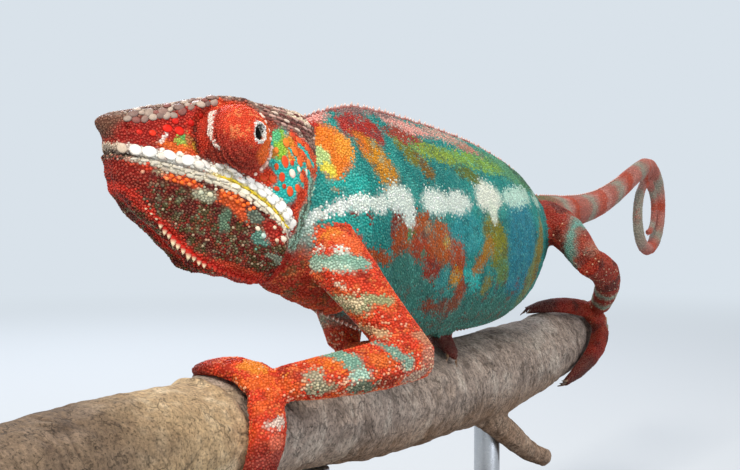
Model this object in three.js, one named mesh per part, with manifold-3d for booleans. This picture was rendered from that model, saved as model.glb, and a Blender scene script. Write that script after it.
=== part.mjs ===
// Panther chameleon, an adult male at life size, walking along a short length of branch on a display stand.
// Millimetres, +Z up. The animal faces -Y and its left side is +X. The origin is the middle of the stand
// base's underside, so the whole model stands on z = 0.
import * as THREE from 'three';
import { mergeVertices } from 'three/addons/utils/BufferGeometryUtils.js';
import Module from 'manifold-3d';

const wasm = await Module();
wasm.setup();
const radians = THREE.MathUtils.degToRad;

// ---- driving dimensions ----
const GAP = 0.3;                    // clearance between touching pieces
const PERCH_FRONT = -172;           // the branch's sawn ends
const PERCH_BACK = 135;
const NECK_FRONT = -82;             // inside the back of the skull
const TRUNK_FRONT = -58;            // where the neck becomes the trunk
const TRUNK_BACK = 78;              // the vent, where the tail starts
const HEAD_LENGTH = 50;             // snout tip to the back of the jaw
const HEAD_SEAT = [-18.9, -113.6, 137];   // front of the mouth
const HEAD_PITCH = radians(-21);
const HEAD_YAW = radians(-27);
const TURRET_SEAT = [8.2, 25, 10.6];    // centre of the eye turret, in the head's own frame
const TURRET_RADIUS = 7.5;
const TURRET_AIM = new THREE.Vector3(0.93, 0.3, 0.2).normalize();
const COIL_CENTRE = [8, 182, 120];  // the tail's coil
const COIL_RADIUS = 19;
const COIL_TURNS = 1.55;
const COIL_PITCH = 6.9;             // how much the coil's radius falls in one turn
const COIL_STEP = 0.1;
const BASE_SIZE = [124, 236, 12];
const BASE_CORNER = 10;
const ROD_RADIUS = 4;
const ROD_PLACES = { stand_rod_front: -62, stand_rod_back: 38 };

// ---- materials ----
const finish = (color, roughness, metalness = 0) =>
  new THREE.MeshStandardMaterial({ color, roughness, metalness });
const SKIN_TEAL = finish(0x2f9c93, 0.6);
const SKIN_RED = finish(0xc93414, 0.6);
const SKIN_ROSE = finish(0xa8655a, 0.65);
const EYE = finish(0x120c0a, 0.08);
const CLAW = finish(0x4a3426, 0.45);
const BARK = finish(0xa58c6d, 0.9);
const BASE_WOOD = finish(0x2b2622, 0.5);
const STEEL = finish(0xb9bbbd, 0.35, 1);

// ---- helpers ----

// A smooth function through [position, value] stations.
function through(stations) {
  const last = stations.length - 1;
  return (position) => {
    let k = 0;
    while (k < last - 1 && position > stations[k + 1][0]) k += 1;
    const before = stations[Math.max(k - 1, 0)];
    const [start, from] = stations[k];
    const [end, to] = stations[k + 1];
    const after = stations[Math.min(k + 2, last)];
    const span = end - start;
    const t = THREE.MathUtils.clamp((position - start) / span, 0, 1);
    const slopeIn = ((to - before[1]) / (end - before[0])) * span;
    const slopeOut = ((after[1] - from) / (after[0] - start)) * span;
    const square = t * t;
    const cube = square * t;
    return (2 * cube - 3 * square + 1) * from + (cube - 2 * square + t) * slopeIn
      + (3 * square - 2 * cube) * to + (cube - square) * slopeOut;
  };
}

function welded(geometry) {
  geometry.deleteAttribute('normal');
  geometry.deleteAttribute('uv');
  return mergeVertices(geometry);
}

// Turns a shape inside out where its volume comes out negative, so that its faces point outwards.
function facingOut(geometry) {
  const place = geometry.attributes.position;
  const index = geometry.index.array;
  const corner = [new THREE.Vector3(), new THREE.Vector3(), new THREE.Vector3()];
  let volume = 0;
  for (let face = 0; face < index.length; face += 3) {
    corner.forEach((point, k) => point.fromBufferAttribute(place, index[face + k]));
    volume += corner[0].dot(corner[1].clone().cross(corner[2]));
  }
  if (volume < 0) {
    for (let face = 0; face < index.length; face += 3) {
      [index[face + 1], index[face + 2]] = [index[face + 2], index[face + 1]];
    }
  }
  return geometry;
}

// A closed body of rings: ringAt(t) gives the points of the ring at t from 0 to 1.
function loft(sides, steps, ringAt) {
  const shape = welded(new THREE.CylinderGeometry(1, 1, 1, sides, steps));
  const rings = Array.from({ length: steps + 1 }, (_, k) => ringAt(k / steps));
  const middles = rings.map((ring) =>
    ring.reduce((sum, point) => sum.add(point), new THREE.Vector3()).divideScalar(sides));
  const place = shape.attributes.position;
  for (let v = 0; v < place.count; v += 1) {
    const ring = Math.round((place.getY(v) + 0.5) * steps);
    const turn = Math.atan2(place.getX(v), place.getZ(v)) / (2 * Math.PI);
    const side = (Math.round(turn * sides) + sides) % sides;
    const onAxis = Math.hypot(place.getX(v), place.getZ(v)) < 0.5;
    const point = onAxis ? middles[ring] : rings[ring][side];
    place.setXYZ(v, point.x, point.y, point.z);
  }
  return facingOut(shape);
}

// The points of a closed ring drawn through a half outline [across, up], mirrored about across = 0.
function mirroredRing(half, sides, toPoint) {
  const left = half.map(([across, up]) => new THREE.Vector3(across, up, 0));
  const right = half.slice(1, -1).reverse().map(([across, up]) => new THREE.Vector3(-across, up, 0));
  const outline = new THREE.CatmullRomCurve3([...left, ...right], true, 'centripetal');
  return Array.from({ length: sides }, (_, k) => {
    const point = outline.getPoint(k / sides);
    return toPoint(point.x, point.y);
  });
}

// A limb: a round rod of changing radius along a smooth path, with domed ends.
function limb(points, radii, sides = 10, steps = 6) {
  const path = new THREE.CatmullRomCurve3(points.map((p) => new THREE.Vector3(...p)), false, 'centripetal');
  const frames = path.computeFrenetFrames(steps, false);
  const radius = through(radii.map((value, k) => [k / (radii.length - 1), value]));
  return loft(sides, steps, (t) => {
    const k = Math.round(t * steps);
    const dome = Math.sqrt(Math.max(0.12, 1 - Math.max(0, Math.abs(2 * t - 1) * 1.06 - 0.24) ** 14));
    const centre = path.getPointAt(t);
    return Array.from({ length: sides }, (_, s) => {
      const turn = (2 * Math.PI * s) / sides;
      return centre.clone()
        .addScaledVector(frames.normals[k], Math.cos(turn) * radius(t) * dome)
        .addScaledVector(frames.binormals[k], Math.sin(turn) * radius(t) * dome);
    });
  });
}

// The same shape with its skin moved outwards.
function swollen(geometry, by) {
  const shape = geometry.clone();
  shape.computeVertexNormals();
  const { position, normal } = shape.attributes;
  for (let v = 0; v < position.count; v += 1) {
    position.setXYZ(v, position.getX(v) + normal.getX(v) * by,
      position.getY(v) + normal.getY(v) * by, position.getZ(v) + normal.getZ(v) * by);
  }
  shape.deleteAttribute('normal');
  return shape;
}

function toSolid(geometry) {
  const mesh = new wasm.Mesh({
    numProp: 3,
    vertProperties: new Float32Array(geometry.attributes.position.array),
    triVerts: new Uint32Array(geometry.index.array),
  });
  return new wasm.Manifold(mesh);
}

// The largest single body of a solid, as a geometry.
function toGeometry(solid) {
  const bodies = solid.decompose().sort((a, b) => b.volume() - a.volume());
  const mesh = bodies[0].getMesh();
  const geometry = new THREE.BufferGeometry();
  geometry.setAttribute('position', new THREE.BufferAttribute(mesh.vertProperties, 3));
  geometry.setIndex(new THREE.BufferAttribute(mesh.triVerts, 1));
  return geometry;
}

function cut(geometry, neighbours, gap = GAP) {
  return toGeometry(neighbours.reduce(
    (solid, neighbour) => solid.subtract(toSolid(swollen(neighbour, gap))), toSolid(geometry)));
}

const figure = new THREE.Group();
const headGroup = new THREE.Group();

function add(name, geometry, material, group = figure) {
  const mesh = new THREE.Mesh(geometry, material);
  mesh.name = name;
  group.add(mesh);
  return geometry;
}

// ---- the perch: a cut length of branch with a broken twig on its underside ----
const perchHeight = through([[PERCH_FRONT, 75.6], [-85, 75.9], [-35, 71.4], [5, 70.8], [40, 71], [80, 73.2],
  [PERCH_BACK, 76.5]]);
const perchRadius = through([[PERCH_FRONT, 13], [-122, 13.2], [-102, 12.3], [-85, 12.3], [-35, 12.7], [5, 13.2],
  [40, 14.2], [80, 12.2], [PERCH_BACK, 10.4]]);
const perchSide = through([[PERCH_FRONT, 0], [60, 0], [110, -0.5], [PERCH_BACK, -3]]);

function perchPoint(y, turn, out) {
  return new THREE.Vector3(perchSide(y) + Math.cos(turn) * out, y, perchHeight(y) + Math.sin(turn) * out);
}

const PERCH_SIDES = 16;
const perchRod = loft(PERCH_SIDES, 12, (t) => {
  const y = THREE.MathUtils.lerp(PERCH_FRONT, PERCH_BACK, t);
  return Array.from({ length: PERCH_SIDES }, (_, k) =>
    perchPoint(y, (2 * Math.PI * k) / PERCH_SIDES, perchRadius(y)));
});
const twigStub = limb([[1, 18, 66], [7, 34, 55], [10, 49, 45.6], [11, 59, 41.5]], [6, 4.6, 4, 3.4], 8, 5);
const perch = toGeometry(toSolid(perchRod).add(toSolid(twigStub)));
add('perch_branch', perch, BARK);

// ---- the head, in its own frame: +X left, +Y back along the mouth line, +Z up ----
headGroup.position.set(...HEAD_SEAT);
headGroup.rotation.set(HEAD_PITCH, 0, HEAD_YAW, 'ZYX');
headGroup.updateMatrixWorld();
figure.add(headGroup);
const inWorld = (geometry) => geometry.clone().applyMatrix4(headGroup.matrixWorld);

const crown = through([[-1.4, 4.4], [0, 6.1], [5, 9.3], [11, 13.1], [16, 16.2], [21, 18.7], [26, 20.4],
  [32, 21.8], [38, 23.4], [43, 24.2], [45.5, 22.8], [48, 16], [HEAD_LENGTH, 9]]);
const throat = through([[-1.4, 2.6], [0.5, 1], [2.4, -2.6], [5.4, -6.2], [10, -9.3], [16, -11.4], [21, -12.4],
  [26, -14.6], [31, -15.9], [37, -16], [43, -16.2], [47, -13.4], [HEAD_LENGTH, -7]]);
const pouchBulge = through([
  [0, 0], [8, 1], [16, 2.2], [22, 3.2], [28, 4], [33, 2.2], [38, 0.4], [HEAD_LENGTH, 0],
]);
const jawWidth = through([[-1.4, 0.6], [0.5, 1.8], [2.4, 3.9], [6, 6], [12, 7.9], [20, 9.2], [30, 10],
  [40, 10.6], [45, 9.6], [HEAD_LENGTH, 5]]);
const lipWidth = through([[-1.4, 1], [0.5, 2.9], [3, 4.9], [7, 6.7], [13, 8.2], [20, 9.4], [30, 10.5],
  [39, 11.3], [44, 10.8], [47, 8.6], [HEAD_LENGTH, 5]]);
const cheekWidth = through([[-1.4, 1.1], [1, 3.3], [5, 5.3], [11, 6.3], [17, 7], [25, 8], [33, 9.2],
  [40, 9.8], [45, 8.6], [HEAD_LENGTH, 4.5]]);
const ridgeWidth = through([[-1.4, 0.8], [1, 2.9], [5, 4.4], [11, 5.4], [17, 6.4], [25, 7.3], [32, 6.6],
  [38, 4.6], [43, 2.3], [46, 2], [HEAD_LENGTH, 2.4]]);

const HEAD_SIDES = 22;
const wholeHead = loft(HEAD_SIDES, 16, (t) => {
  const eased = t ** 1.25;
  const back = THREE.MathUtils.lerp(-1.4, HEAD_LENGTH, eased);
  const top = crown(back);
  const low = throat(back);
  const lip = THREE.MathUtils.lerp(low, top, Math.max(0.3, Math.min(0.5, -low / (top - low) + 0.03)));
  const rise = top - lip;
  const outline = [
    [0, low],
    [jawWidth(back) * 0.48, low - pouchBulge(back) + 0.02 * (lip - low)],
    [jawWidth(back) * 0.88, THREE.MathUtils.lerp(low, lip, 0.3)],
    [jawWidth(back), THREE.MathUtils.lerp(low, lip, 0.68)],
    [lipWidth(back), lip],
    [cheekWidth(back), lip + rise * 0.5],
    [ridgeWidth(back), lip + rise * 0.92],
    [ridgeWidth(back) * 0.45, top],
    [0, top - 0.02 * rise],
  ];
  return mirroredRing(outline, HEAD_SIDES, (across, up) => new THREE.Vector3(across, back, up));
});

// The lower jaw and throat: what lies under the mouth line, as far back as the corner of the jaw.
const JAW_CORNER = [44.6, -4.4];
const BLOCK_FRONT = -6;
const BLOCK_LOW = -30;
const BLOCK_WIDTH = 40;
function jawBlock(clearance) {
  const side = new THREE.Shape();
  side.moveTo(BLOCK_FRONT, -0.6 + clearance);
  side.lineTo(2.4, -0.6 + clearance);
  side.quadraticCurveTo(22, 1.8 + clearance, 34, -0.6 + clearance);
  side.quadraticCurveTo(40, -1.6 + clearance, JAW_CORNER[0] + clearance, JAW_CORNER[1] + clearance);
  side.lineTo(JAW_CORNER[0] + clearance, BLOCK_LOW);
  side.lineTo(BLOCK_FRONT, BLOCK_LOW);
  const block = new THREE.ExtrudeGeometry(side, { depth: BLOCK_WIDTH, bevelEnabled: false, curveSegments: 8 });
  block.translate(0, 0, -BLOCK_WIDTH / 2);
  const turn = new THREE.Matrix4().makeBasis(
    new THREE.Vector3(0, 1, 0), new THREE.Vector3(0, 0, 1), new THREE.Vector3(1, 0, 0));
  return facingOut(welded(block.applyMatrix4(turn)));
}

// The eye turret: a granular dome whose small opening holds the eye.
function turned(profile, sides) {
  const points = profile.map(([radius, height]) => new THREE.Vector2(radius, height));
  const shape = facingOut(welded(new THREE.LatheGeometry(points, sides)));
  const aim = new THREE.Quaternion().setFromUnitVectors(new THREE.Vector3(0, 1, 0), TURRET_AIM);
  return shape.applyQuaternion(aim).translate(...TURRET_SEAT);
}
const OPENING = 1.55;                  // radius of the gap between the lids
const SOCKET_SIDE = OPENING - 0.1;
const SOCKET_FLOOR = TURRET_RADIUS * 0.86;
const TURRET_TOP = TURRET_RADIUS * 1.06;
const EYE_RISE = 0.9;                  // how far the eye bulges above its rim
const turretDome = [[0, -4.2], [5.4, -4.2]];
for (let angle = -27; angle <= 72; angle += 16.5) {
  turretDome.push([Math.cos(radians(angle)) * TURRET_RADIUS, Math.sin(radians(angle)) * TURRET_RADIUS * 1.04]);
}
turretDome.push([OPENING, TURRET_TOP]);
const eyeProfile = [[0, SOCKET_FLOOR + GAP]];
for (let angle = 0; angle <= 67.5; angle += 22.5) {
  eyeProfile.push([Math.cos(radians(angle)) * (SOCKET_SIDE - GAP),
    SOCKET_FLOOR + 2 * GAP + Math.sin(radians(angle)) * EYE_RISE]);
}
eyeProfile.push([0, SOCKET_FLOOR + 2 * GAP + EYE_RISE]);

const mirror = (geometry) => facingOut(geometry.clone().scale(-1, 1, 1));
const TURRET_SIDES = 12;
const turret = turned([...turretDome, [SOCKET_SIDE, SOCKET_FLOOR], [0, SOCKET_FLOOR]], TURRET_SIDES);
const eye = turned(eyeProfile, 10);
const turretOuter = turned([...turretDome, [0, TURRET_TOP]], TURRET_SIDES);

const jawSolid = toSolid(wholeHead).intersect(toSolid(jawBlock(0)));
const skullSolid = toSolid(wholeHead).subtract(toSolid(jawBlock(GAP)));
const lowerJaw = cut(toGeometry(jawSolid), [turretOuter, mirror(turretOuter)]);
const head = cut(toGeometry(skullSolid), [turretOuter, mirror(turretOuter)]);
add('head', head, SKIN_RED, headGroup);
add('lower_jaw', lowerJaw, SKIN_RED, headGroup);
for (const [side, turn] of [['left', (shape) => shape], ['right', mirror]]) {
  add(`turret_${side}`, turn(turret), SKIN_RED, headGroup);
  add(`eye_${side}`, turn(eye), EYE, headGroup);
}

// ---- neck and trunk: upright rings along Y, flat-sided with a narrow back ----
const backbone = through([[-84, -3], [-70, 1.6], [-58, 2.6], [-40, 1.4], [-15, 0.2], [40, 0], [90, 0]]);
const backHeight = through([[-84, 139], [-70, 143.4], [-62, 145.8], [-47, 148], [-20, 147], [8, 144.4],
  [30, 141.4], [46, 138], [60, 134.2], [68, 130.4], [74, 126.6], [TRUNK_BACK, 123.6]]);
const bellyHeight = through([[-84, 108.6], [-76, 104], [-69, 101.2], [-58, 97.4], [-39, 92], [-17, 87.6],
  [0, 87.3], [12, 86.8], [29, 86.6], [44, 88.4], [57, 91.8], [66, 95.6], [73, 100.6], [TRUNK_BACK, 106]]);
const flankWidth = through([[-84, 7.4], [-74, 10.2], [-64, 11], [-50, 12.4], [-30, 14], [-8, 15.2],
  [20, 15.4], [40, 14.6], [50, 13.2], [57, 11.4], [64, 9.2], [71, 7.2], [TRUNK_BACK, 5.8]]);

const BODY_SIDES = 20;
function bodyRing(y) {
  const low = bellyHeight(y);
  const deep = backHeight(y) - low;
  const wide = flankWidth(y);
  const outline = [
    [0, 0], [0.44, 0.04], [0.82, 0.2], [1, 0.44], [0.9, 0.66], [0.58, 0.85], [0.2, 0.965], [0, 1],
  ];
  return mirroredRing(outline.map(([across, up]) => [across * wide, low + up * deep]), BODY_SIDES,
    (across, up) => new THREE.Vector3(backbone(y) + across, y, up));
}
const bodyLength = (from, to, steps) =>
  loft(BODY_SIDES, steps, (t) => bodyRing(THREE.MathUtils.lerp(from, to, t)));

const trunk = add('trunk', bodyLength(TRUNK_FRONT + GAP, TRUNK_BACK, 14), SKIN_TEAL);
const wholeNeck = bodyLength(NECK_FRONT, TRUNK_FRONT, 5);
add('neck', cut(wholeNeck, [inWorld(wholeHead)]), SKIN_RED);

// ---- the tail: straight back from the vent, then coiled in an upright plane ----
const tailPoints = [[0, 73, 119], [0.4, 84, 119.4], [1.6, 104, 120.4], [4, 128, 123.4], [6, 148, 129],
  [7.4, 166, 135.4]];
for (let turn = 0; turn <= COIL_TURNS; turn += COIL_STEP) {
  const radius = COIL_RADIUS - COIL_PITCH * turn;
  tailPoints.push([COIL_CENTRE[0], COIL_CENTRE[1] + Math.sin(2 * Math.PI * turn) * radius,
    COIL_CENTRE[2] + Math.cos(2 * Math.PI * turn) * radius]);
}
const tailPath = new THREE.CatmullRomCurve3(
  tailPoints.map((p) => new THREE.Vector3(...p)), false, 'centripetal',
);
tailPath.arcLengthDivisions = 600;      // fine enough for even rings round the coil
const TAIL_LENGTH = tailPath.getLength();
const TAIL_PIECES = 6;
const tailDepth = through([[0, 7.8], [0.06, 7.2], [0.16, 5.8], [0.35, 4.3], [0.6, 3.1], [0.85, 2.1], [1, 1.4]]);
const tailWidth = through([[0, 7], [0.06, 6.6], [0.16, 5.2], [0.35, 3.7], [0.6, 2.8], [0.85, 1.9], [1, 1.3]]);
const TAIL_SIDES = 10;

function tailRing(t) {
  const centre = tailPath.getPointAt(t);
  const along = tailPath.getTangentAt(t);
  const across = new THREE.Vector3(1, 0, 0).addScaledVector(along, -along.x).normalize();
  const up = across.clone().cross(along).negate();
  return Array.from({ length: TAIL_SIDES }, (_, k) => {
    const turn = (2 * Math.PI * k) / TAIL_SIDES;
    return centre.clone().addScaledVector(across, Math.sin(turn) * tailWidth(t))
      .addScaledVector(up, Math.cos(turn) * tailDepth(t));
  });
}
const TAIL_STEPS = [6, 5, 6, 7, 8, 8];
let tailRoot = null;
for (let piece = 0; piece < TAIL_PIECES; piece += 1) {
  const from = piece / TAIL_PIECES + (piece > 0 ? GAP / TAIL_LENGTH : 0);
  const to = (piece + 1) / TAIL_PIECES;
  const length = loft(TAIL_SIDES, TAIL_STEPS[piece], (t) => tailRing(THREE.MathUtils.lerp(from, to, t)));
  tailRoot = tailRoot ?? length;
  add(`tail_${piece + 1}`, piece > 0 ? length : cut(length, [trunk]), SKIN_ROSE);
}

// ---- legs ----
// Each foot: where the palm sits on the perch (y and angle round it), and the way its two toe bundles go.
// A front foot has three toes inside and two outside, a hind foot two inside and three outside.
const LEGS = {
  front_left: {
    upper: [[3, -63, 118], [9.6, -69, 113.6], [19, -70.2, 104.4], [28.3, -63.2, 88.9]],
    lower: [[28.5, -62.8, 90.6], [24.6, -76.8, 89.4], [19, -86.6, 88.2], [13.4, -94.6, 87.4]],
    thick: [7.4, 7, 5.7, 5.6],
    thin: [5.6, 5.5, 4.9, 4],
    palm: { y: -96.5, angle: 51 },
    inner: {
      toes: 3, angles: [62, 92, 118], ys: [-97, -97.6, -94.8], half: [4.4, 4.5, 3.5], deep: [2.8, 1.9, 1.8],
    },
    outer: {
      toes: 2, angles: [34, -8, -62], ys: [-99, -102.4, -104.5], half: [4.6, 4.9, 3.4], deep: [2.9, 2.7, 2],
    },
  },
  front_right: {
    upper: [[-2, -62, 117], [-9, -57, 115.4], [-18, -41, 114.4], [-24, -26, 112]],
    lower: [[-24, -26, 112], [-19.8, -25.4, 105], [-14.4, -26.4, 96], [-11.2, -29, 86.6]],
    thick: [7, 6.4, 5.6, 5.6],
    thin: [5.6, 6.6, 6.4, 4.6],
    palm: { y: -30, angle: 132 },
    inner: { toes: 3, angles: [114, 82, 44], ys: [-32, -35, -37], half: [4.3, 4.4, 3.1], deep: [2.7, 2, 1.8] },
    outer: { toes: 2, angles: [148, 192, 240], ys: [-31, -33, -35], half: [4, 4, 2.7], deep: [2.9, 2.7, 2] },
  },
  hind_left: {
    upper: [[2, 75, 119], [8, 73, 117.4], [17, 67, 112.4], [24, 62, 105.6]],
    lower: [[24, 62, 105.6], [24.4, 76, 102], [21, 91, 96], [13.6, 105.4, 87.6]],
    thick: [7, 6.6, 5.6, 5],
    thin: [5, 5, 4.3, 3.8],
    palm: { y: 108, angle: 38 },
    inner: { toes: 2, angles: [52, 78, 104], ys: [105, 93, 79], half: [3.6, 3.6, 2.6], deep: [2.8, 2.6, 2] },
    outer: { toes: 3, angles: [16, -10, -44], ys: [107, 98, 79], half: [4, 3.8, 2.6], deep: [2.9, 2.9, 2.1] },
  },
  hind_right: {
    upper: [[-2, 72, 118], [-9, 66, 114.6], [-18, 56, 111], [-24.4, 46, 107]],
    lower: [[-24.4, 46, 107], [-22, 37, 101], [-17.4, 28, 94], [-12.6, 20, 86.4]],
    thick: [7, 6.6, 5.6, 5],
    thin: [5, 5, 4.3, 3.8],
    palm: { y: 18, angle: 132 },
    inner: { toes: 2, angles: [112, 84, 50], ys: [13, 3, -6], half: [3.7, 3.8, 2.7], deep: [2.3, 1.2, 1.4] },
    outer: { toes: 3, angles: [148, 190, 236], ys: [16, 12, 8], half: [4, 4, 2.8], deep: [2.9, 2.8, 2] },
  },
};

const PALM_THICK = 3.1;
const PALM_WIDE = 6;
const PALM_PRESS = 0.92;
const TOE_SIDES = 10;
const TOE_STEPS = 5;
const TOE_GROOVE = 0.34;               // depth of the groove between two toes, as a share of their thickness
const SOLE_FLAT = 0.3;                 // 1 would leave a toe's underside round; less presses it flat

// A palm: a rounded pad, pressed a little into the bark's own curve.
function palmPad({ y, angle }) {
  const pad = welded(new THREE.SphereGeometry(1, 10, 6)).scale(PALM_THICK, PALM_WIDE, PALM_WIDE);
  const turn = radians(angle);
  const seat = perchPoint(y, turn, perchRadius(y) + PALM_THICK * PALM_PRESS);
  return facingOut(pad.rotateY(-turn).translate(seat.x, seat.y, seat.z));
}

// A bundle of toes: one flattened rod round the bark, grooved between its toes towards the tip.
function toeBundle({ toes, angles, ys, half, deep }) {
  const middle = (values) => through(values.map((value, k) => [k / 2, value]));
  const [angleAt, yAt, halfAt, thickAt] = [angles, ys, half, deep].map(middle);
  const centreAt = (t) => perchPoint(yAt(t), radians(angleAt(t)), perchRadius(yAt(t)) + thickAt(t) + GAP);
  const tip = { centre: centreAt(1), half: halfAt(1) };
  const shape = loft(TOE_SIDES, TOE_STEPS, (t) => {
    const centre = centreAt(t);
    const along = centreAt(Math.min(t + 0.02, 1)).sub(centreAt(Math.max(t - 0.02, 0))).normalize();
    const out = new THREE.Vector3(Math.cos(radians(angleAt(t))), 0, Math.sin(radians(angleAt(t))));
    const across = along.clone().cross(out).normalize();
    Object.assign(tip, { along, out, across });
    const round = Math.sqrt(Math.max(0.2, 1 - Math.max(0, t * 1.08 - 0.12) ** 16));
    return Array.from({ length: TOE_SIDES }, (_, k) => {
      const turn = (2 * Math.PI * k) / TOE_SIDES;
      const reach = Math.cos(turn);
      const groove = TOE_GROOVE * t * t * Math.cos((Math.PI / 2) * (reach * toes + (toes % 2))) ** 2;
      const over = Math.sin(turn);
      const rise = over > 0 ? over * (1 - groove) : -(Math.abs(over) ** SOLE_FLAT);
      return centre.clone().addScaledVector(across, reach * halfAt(t) * round)
        .addScaledVector(out, rise * thickAt(t) * round);
    });
  });
  return { shape, tip };
}

// One claw of a bundle: a short horn that curves down to the bark.
const CLAW_LENGTH = 3;
const CLAW_SIDES = 4;
const CLAW_STEPS = 3;
const CLAW_ROOT = 0.85;                // radius at the root, and at the tip
const CLAW_TIP = 0.26;
const CLAW_SPREAD = 0.66;              // how far the outer claws stand from the middle of the bundle
function claw({ centre, along, out, across, half }, place) {
  const root = centre.clone().addScaledVector(across, place * half * CLAW_SPREAD).addScaledVector(along, -1);
  return loft(CLAW_SIDES, CLAW_STEPS, (t) => {
    const middle = root.clone().addScaledVector(along, t * CLAW_LENGTH)
      .addScaledVector(out, 0.5 * t - 1.7 * t * t);
    const radius = THREE.MathUtils.lerp(CLAW_ROOT, CLAW_TIP, t);
    return Array.from({ length: CLAW_SIDES }, (_, k) => {
      const turn = (2 * Math.PI * k) / CLAW_SIDES;
      return middle.clone().addScaledVector(across, Math.cos(turn) * radius)
        .addScaledVector(out, Math.sin(turn) * radius);
    });
  });
}

for (const [leg, { upper, lower, thick, thin, palm, inner, outer }] of Object.entries(LEGS)) {
  const pad = palmPad(palm);
  const thigh = limb(upper, thick);
  const shin = limb(lower, thin);
  const beside = leg.startsWith('front') ? [wholeNeck, inWorld(wholeHead)] : [tailRoot];
  add(`foot_${leg}`, cut(pad, [perch, trunk]), SKIN_RED);
  add(`upper_leg_${leg}`, cut(thigh, [trunk, ...beside]), SKIN_RED);
  add(`lower_leg_${leg}`, cut(shin, [thigh, pad, perch, trunk, ...beside]), SKIN_RED);
  let number = 1;
  const bundles = [];
  for (const [place, bundle] of [['inner', inner], ['outer', outer]]) {
    const { shape, tip } = toeBundle(bundle);
    add(`toes_${place}_${leg}`, cut(shape, [pad, shin, perch, trunk, ...bundles]), SKIN_RED);
    bundles.push(shape);
    for (let toe = 0; toe < bundle.toes; toe += 1) {
      const across = (2 * toe) / (bundle.toes - 1) - 1;
      add(`claw_${leg}_${number}`, cut(claw(tip, across), [shape, perch]), CLAW);
      number += 1;
    }
  }
}

// ---- the stand: a flat base with two plain rods up to the perch ----
function roundedSlab([width, length, height], corner) {
  const [x, y] = [width / 2, length / 2];
  const outline = new THREE.Shape();
  outline.moveTo(-x + corner, -y);
  outline.lineTo(x - corner, -y);
  outline.absarc(x - corner, -y + corner, corner, -Math.PI / 2, 0);
  outline.absarc(x - corner, y - corner, corner, 0, Math.PI / 2);
  outline.absarc(-x + corner, y - corner, corner, Math.PI / 2, Math.PI);
  outline.absarc(-x + corner, -y + corner, corner, Math.PI, 1.5 * Math.PI);
  const slab = new THREE.ExtrudeGeometry(outline, { depth: height, bevelEnabled: false, curveSegments: 4 });
  return facingOut(welded(slab));
}
add('stand_base', roundedSlab(BASE_SIZE, BASE_CORNER), BASE_WOOD);
for (const [name, y] of Object.entries(ROD_PLACES)) {
  const foot = BASE_SIZE[2] + GAP;
  const height = perchHeight(y) - foot;
  const rod = welded(new THREE.CylinderGeometry(ROD_RADIUS, ROD_RADIUS, height, 12));
  rod.rotateX(Math.PI / 2).translate(perchSide(y), y, foot + height / 2);
  add(name, cut(facingOut(rod), [perch]), STEEL);
}

export default figure;
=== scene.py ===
# %% [markdown]
# # A panther chameleon on a cut branch
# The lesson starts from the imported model: one node for each part of the body, the branch and
# the stand. The nodes stay where they are. New pieces are made round them, in metres, and each
# new piece says which nodes it stands for.

# %% The frame
import math
import bpy
import numpy as np
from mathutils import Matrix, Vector
from mathutils.bvhtree import BVHTree
from mathutils.kdtree import KDTree


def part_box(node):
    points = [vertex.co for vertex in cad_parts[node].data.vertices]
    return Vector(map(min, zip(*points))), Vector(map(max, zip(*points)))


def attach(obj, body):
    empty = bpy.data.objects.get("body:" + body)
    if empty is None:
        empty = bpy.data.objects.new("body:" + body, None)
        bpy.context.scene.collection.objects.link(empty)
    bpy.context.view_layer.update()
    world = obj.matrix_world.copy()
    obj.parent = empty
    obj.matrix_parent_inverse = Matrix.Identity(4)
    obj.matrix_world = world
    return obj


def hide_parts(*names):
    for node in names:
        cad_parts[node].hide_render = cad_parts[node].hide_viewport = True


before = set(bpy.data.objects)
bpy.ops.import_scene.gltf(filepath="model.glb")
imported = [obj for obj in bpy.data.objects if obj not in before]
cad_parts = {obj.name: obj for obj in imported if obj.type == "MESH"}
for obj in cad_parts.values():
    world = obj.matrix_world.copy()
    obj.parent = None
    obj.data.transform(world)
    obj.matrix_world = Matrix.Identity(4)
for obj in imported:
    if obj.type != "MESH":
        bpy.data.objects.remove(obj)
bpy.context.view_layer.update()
scene = bpy.context.scene
chance = np.random.default_rng(11)
MM = 0.001

# %% [markdown]
# ## Camera, floor and light
# The camera stands a quarter of a metre from the animal's left cheek, level with the pale stripe
# on its flank. A museum lights such a model softly. The strongest lamp stands high on the left, a
# weaker and wider one fills from the right, and a third picks out the back. The floor is a wide
# disc. Far from the model it takes the colour of the background, so that no horizon shows, and
# near it the shadow stays.

# %% The camera
CAMERA_PLACE = (0.145, -0.286, 0.125)
CAMERA_TURN = 30.0      # degrees to the left of +Y
CAMERA_DIP = 1.76       # degrees below level
CAMERA_LENS = 55.4      # mm, on the usual 36 mm sensor

bpy.ops.object.camera_add(location=CAMERA_PLACE,
                          rotation=(math.radians(90 - CAMERA_DIP), 0, math.radians(CAMERA_TURN)))
camera = bpy.context.object
camera.data.lens = CAMERA_LENS
camera.data.clip_start = 0.01
camera.data.clip_end = 30
scene.camera = camera
scene.view_settings.view_transform = "Standard"


# %% Helpers for colours, nodes and selections
def linear(hex_colour):
    """An sRGB hex value as three linear numbers."""
    parts = [int(hex_colour[k:k + 2], 16) / 255 for k in (1, 3, 5)]
    return [p / 12.92 if p <= 0.04045 else ((p + 0.055) / 1.055) ** 2.4 for p in parts]


def rgba(hex_colour):
    return (*linear(hex_colour), 1.0)


def add_node(tree, kind, settings=None, inputs=None):
    """Adds a node. A value that is a socket is linked, and any other is set."""
    node = tree.nodes.new(kind)
    for name, value in (settings or {}).items():
        setattr(node, name, value)
    for name, value in (inputs or {}).items():
        if isinstance(value, bpy.types.NodeSocket):
            tree.links.new(value, node.inputs[name])
        else:
            node.inputs[name].default_value = value
    return node


def new_material(name):
    """An empty material with its output, ready for a shader."""
    material = bpy.data.materials.new(name)
    material.use_nodes = True
    material.node_tree.nodes.clear()
    output = add_node(material.node_tree, "ShaderNodeOutputMaterial")
    return material, material.node_tree, output


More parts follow.
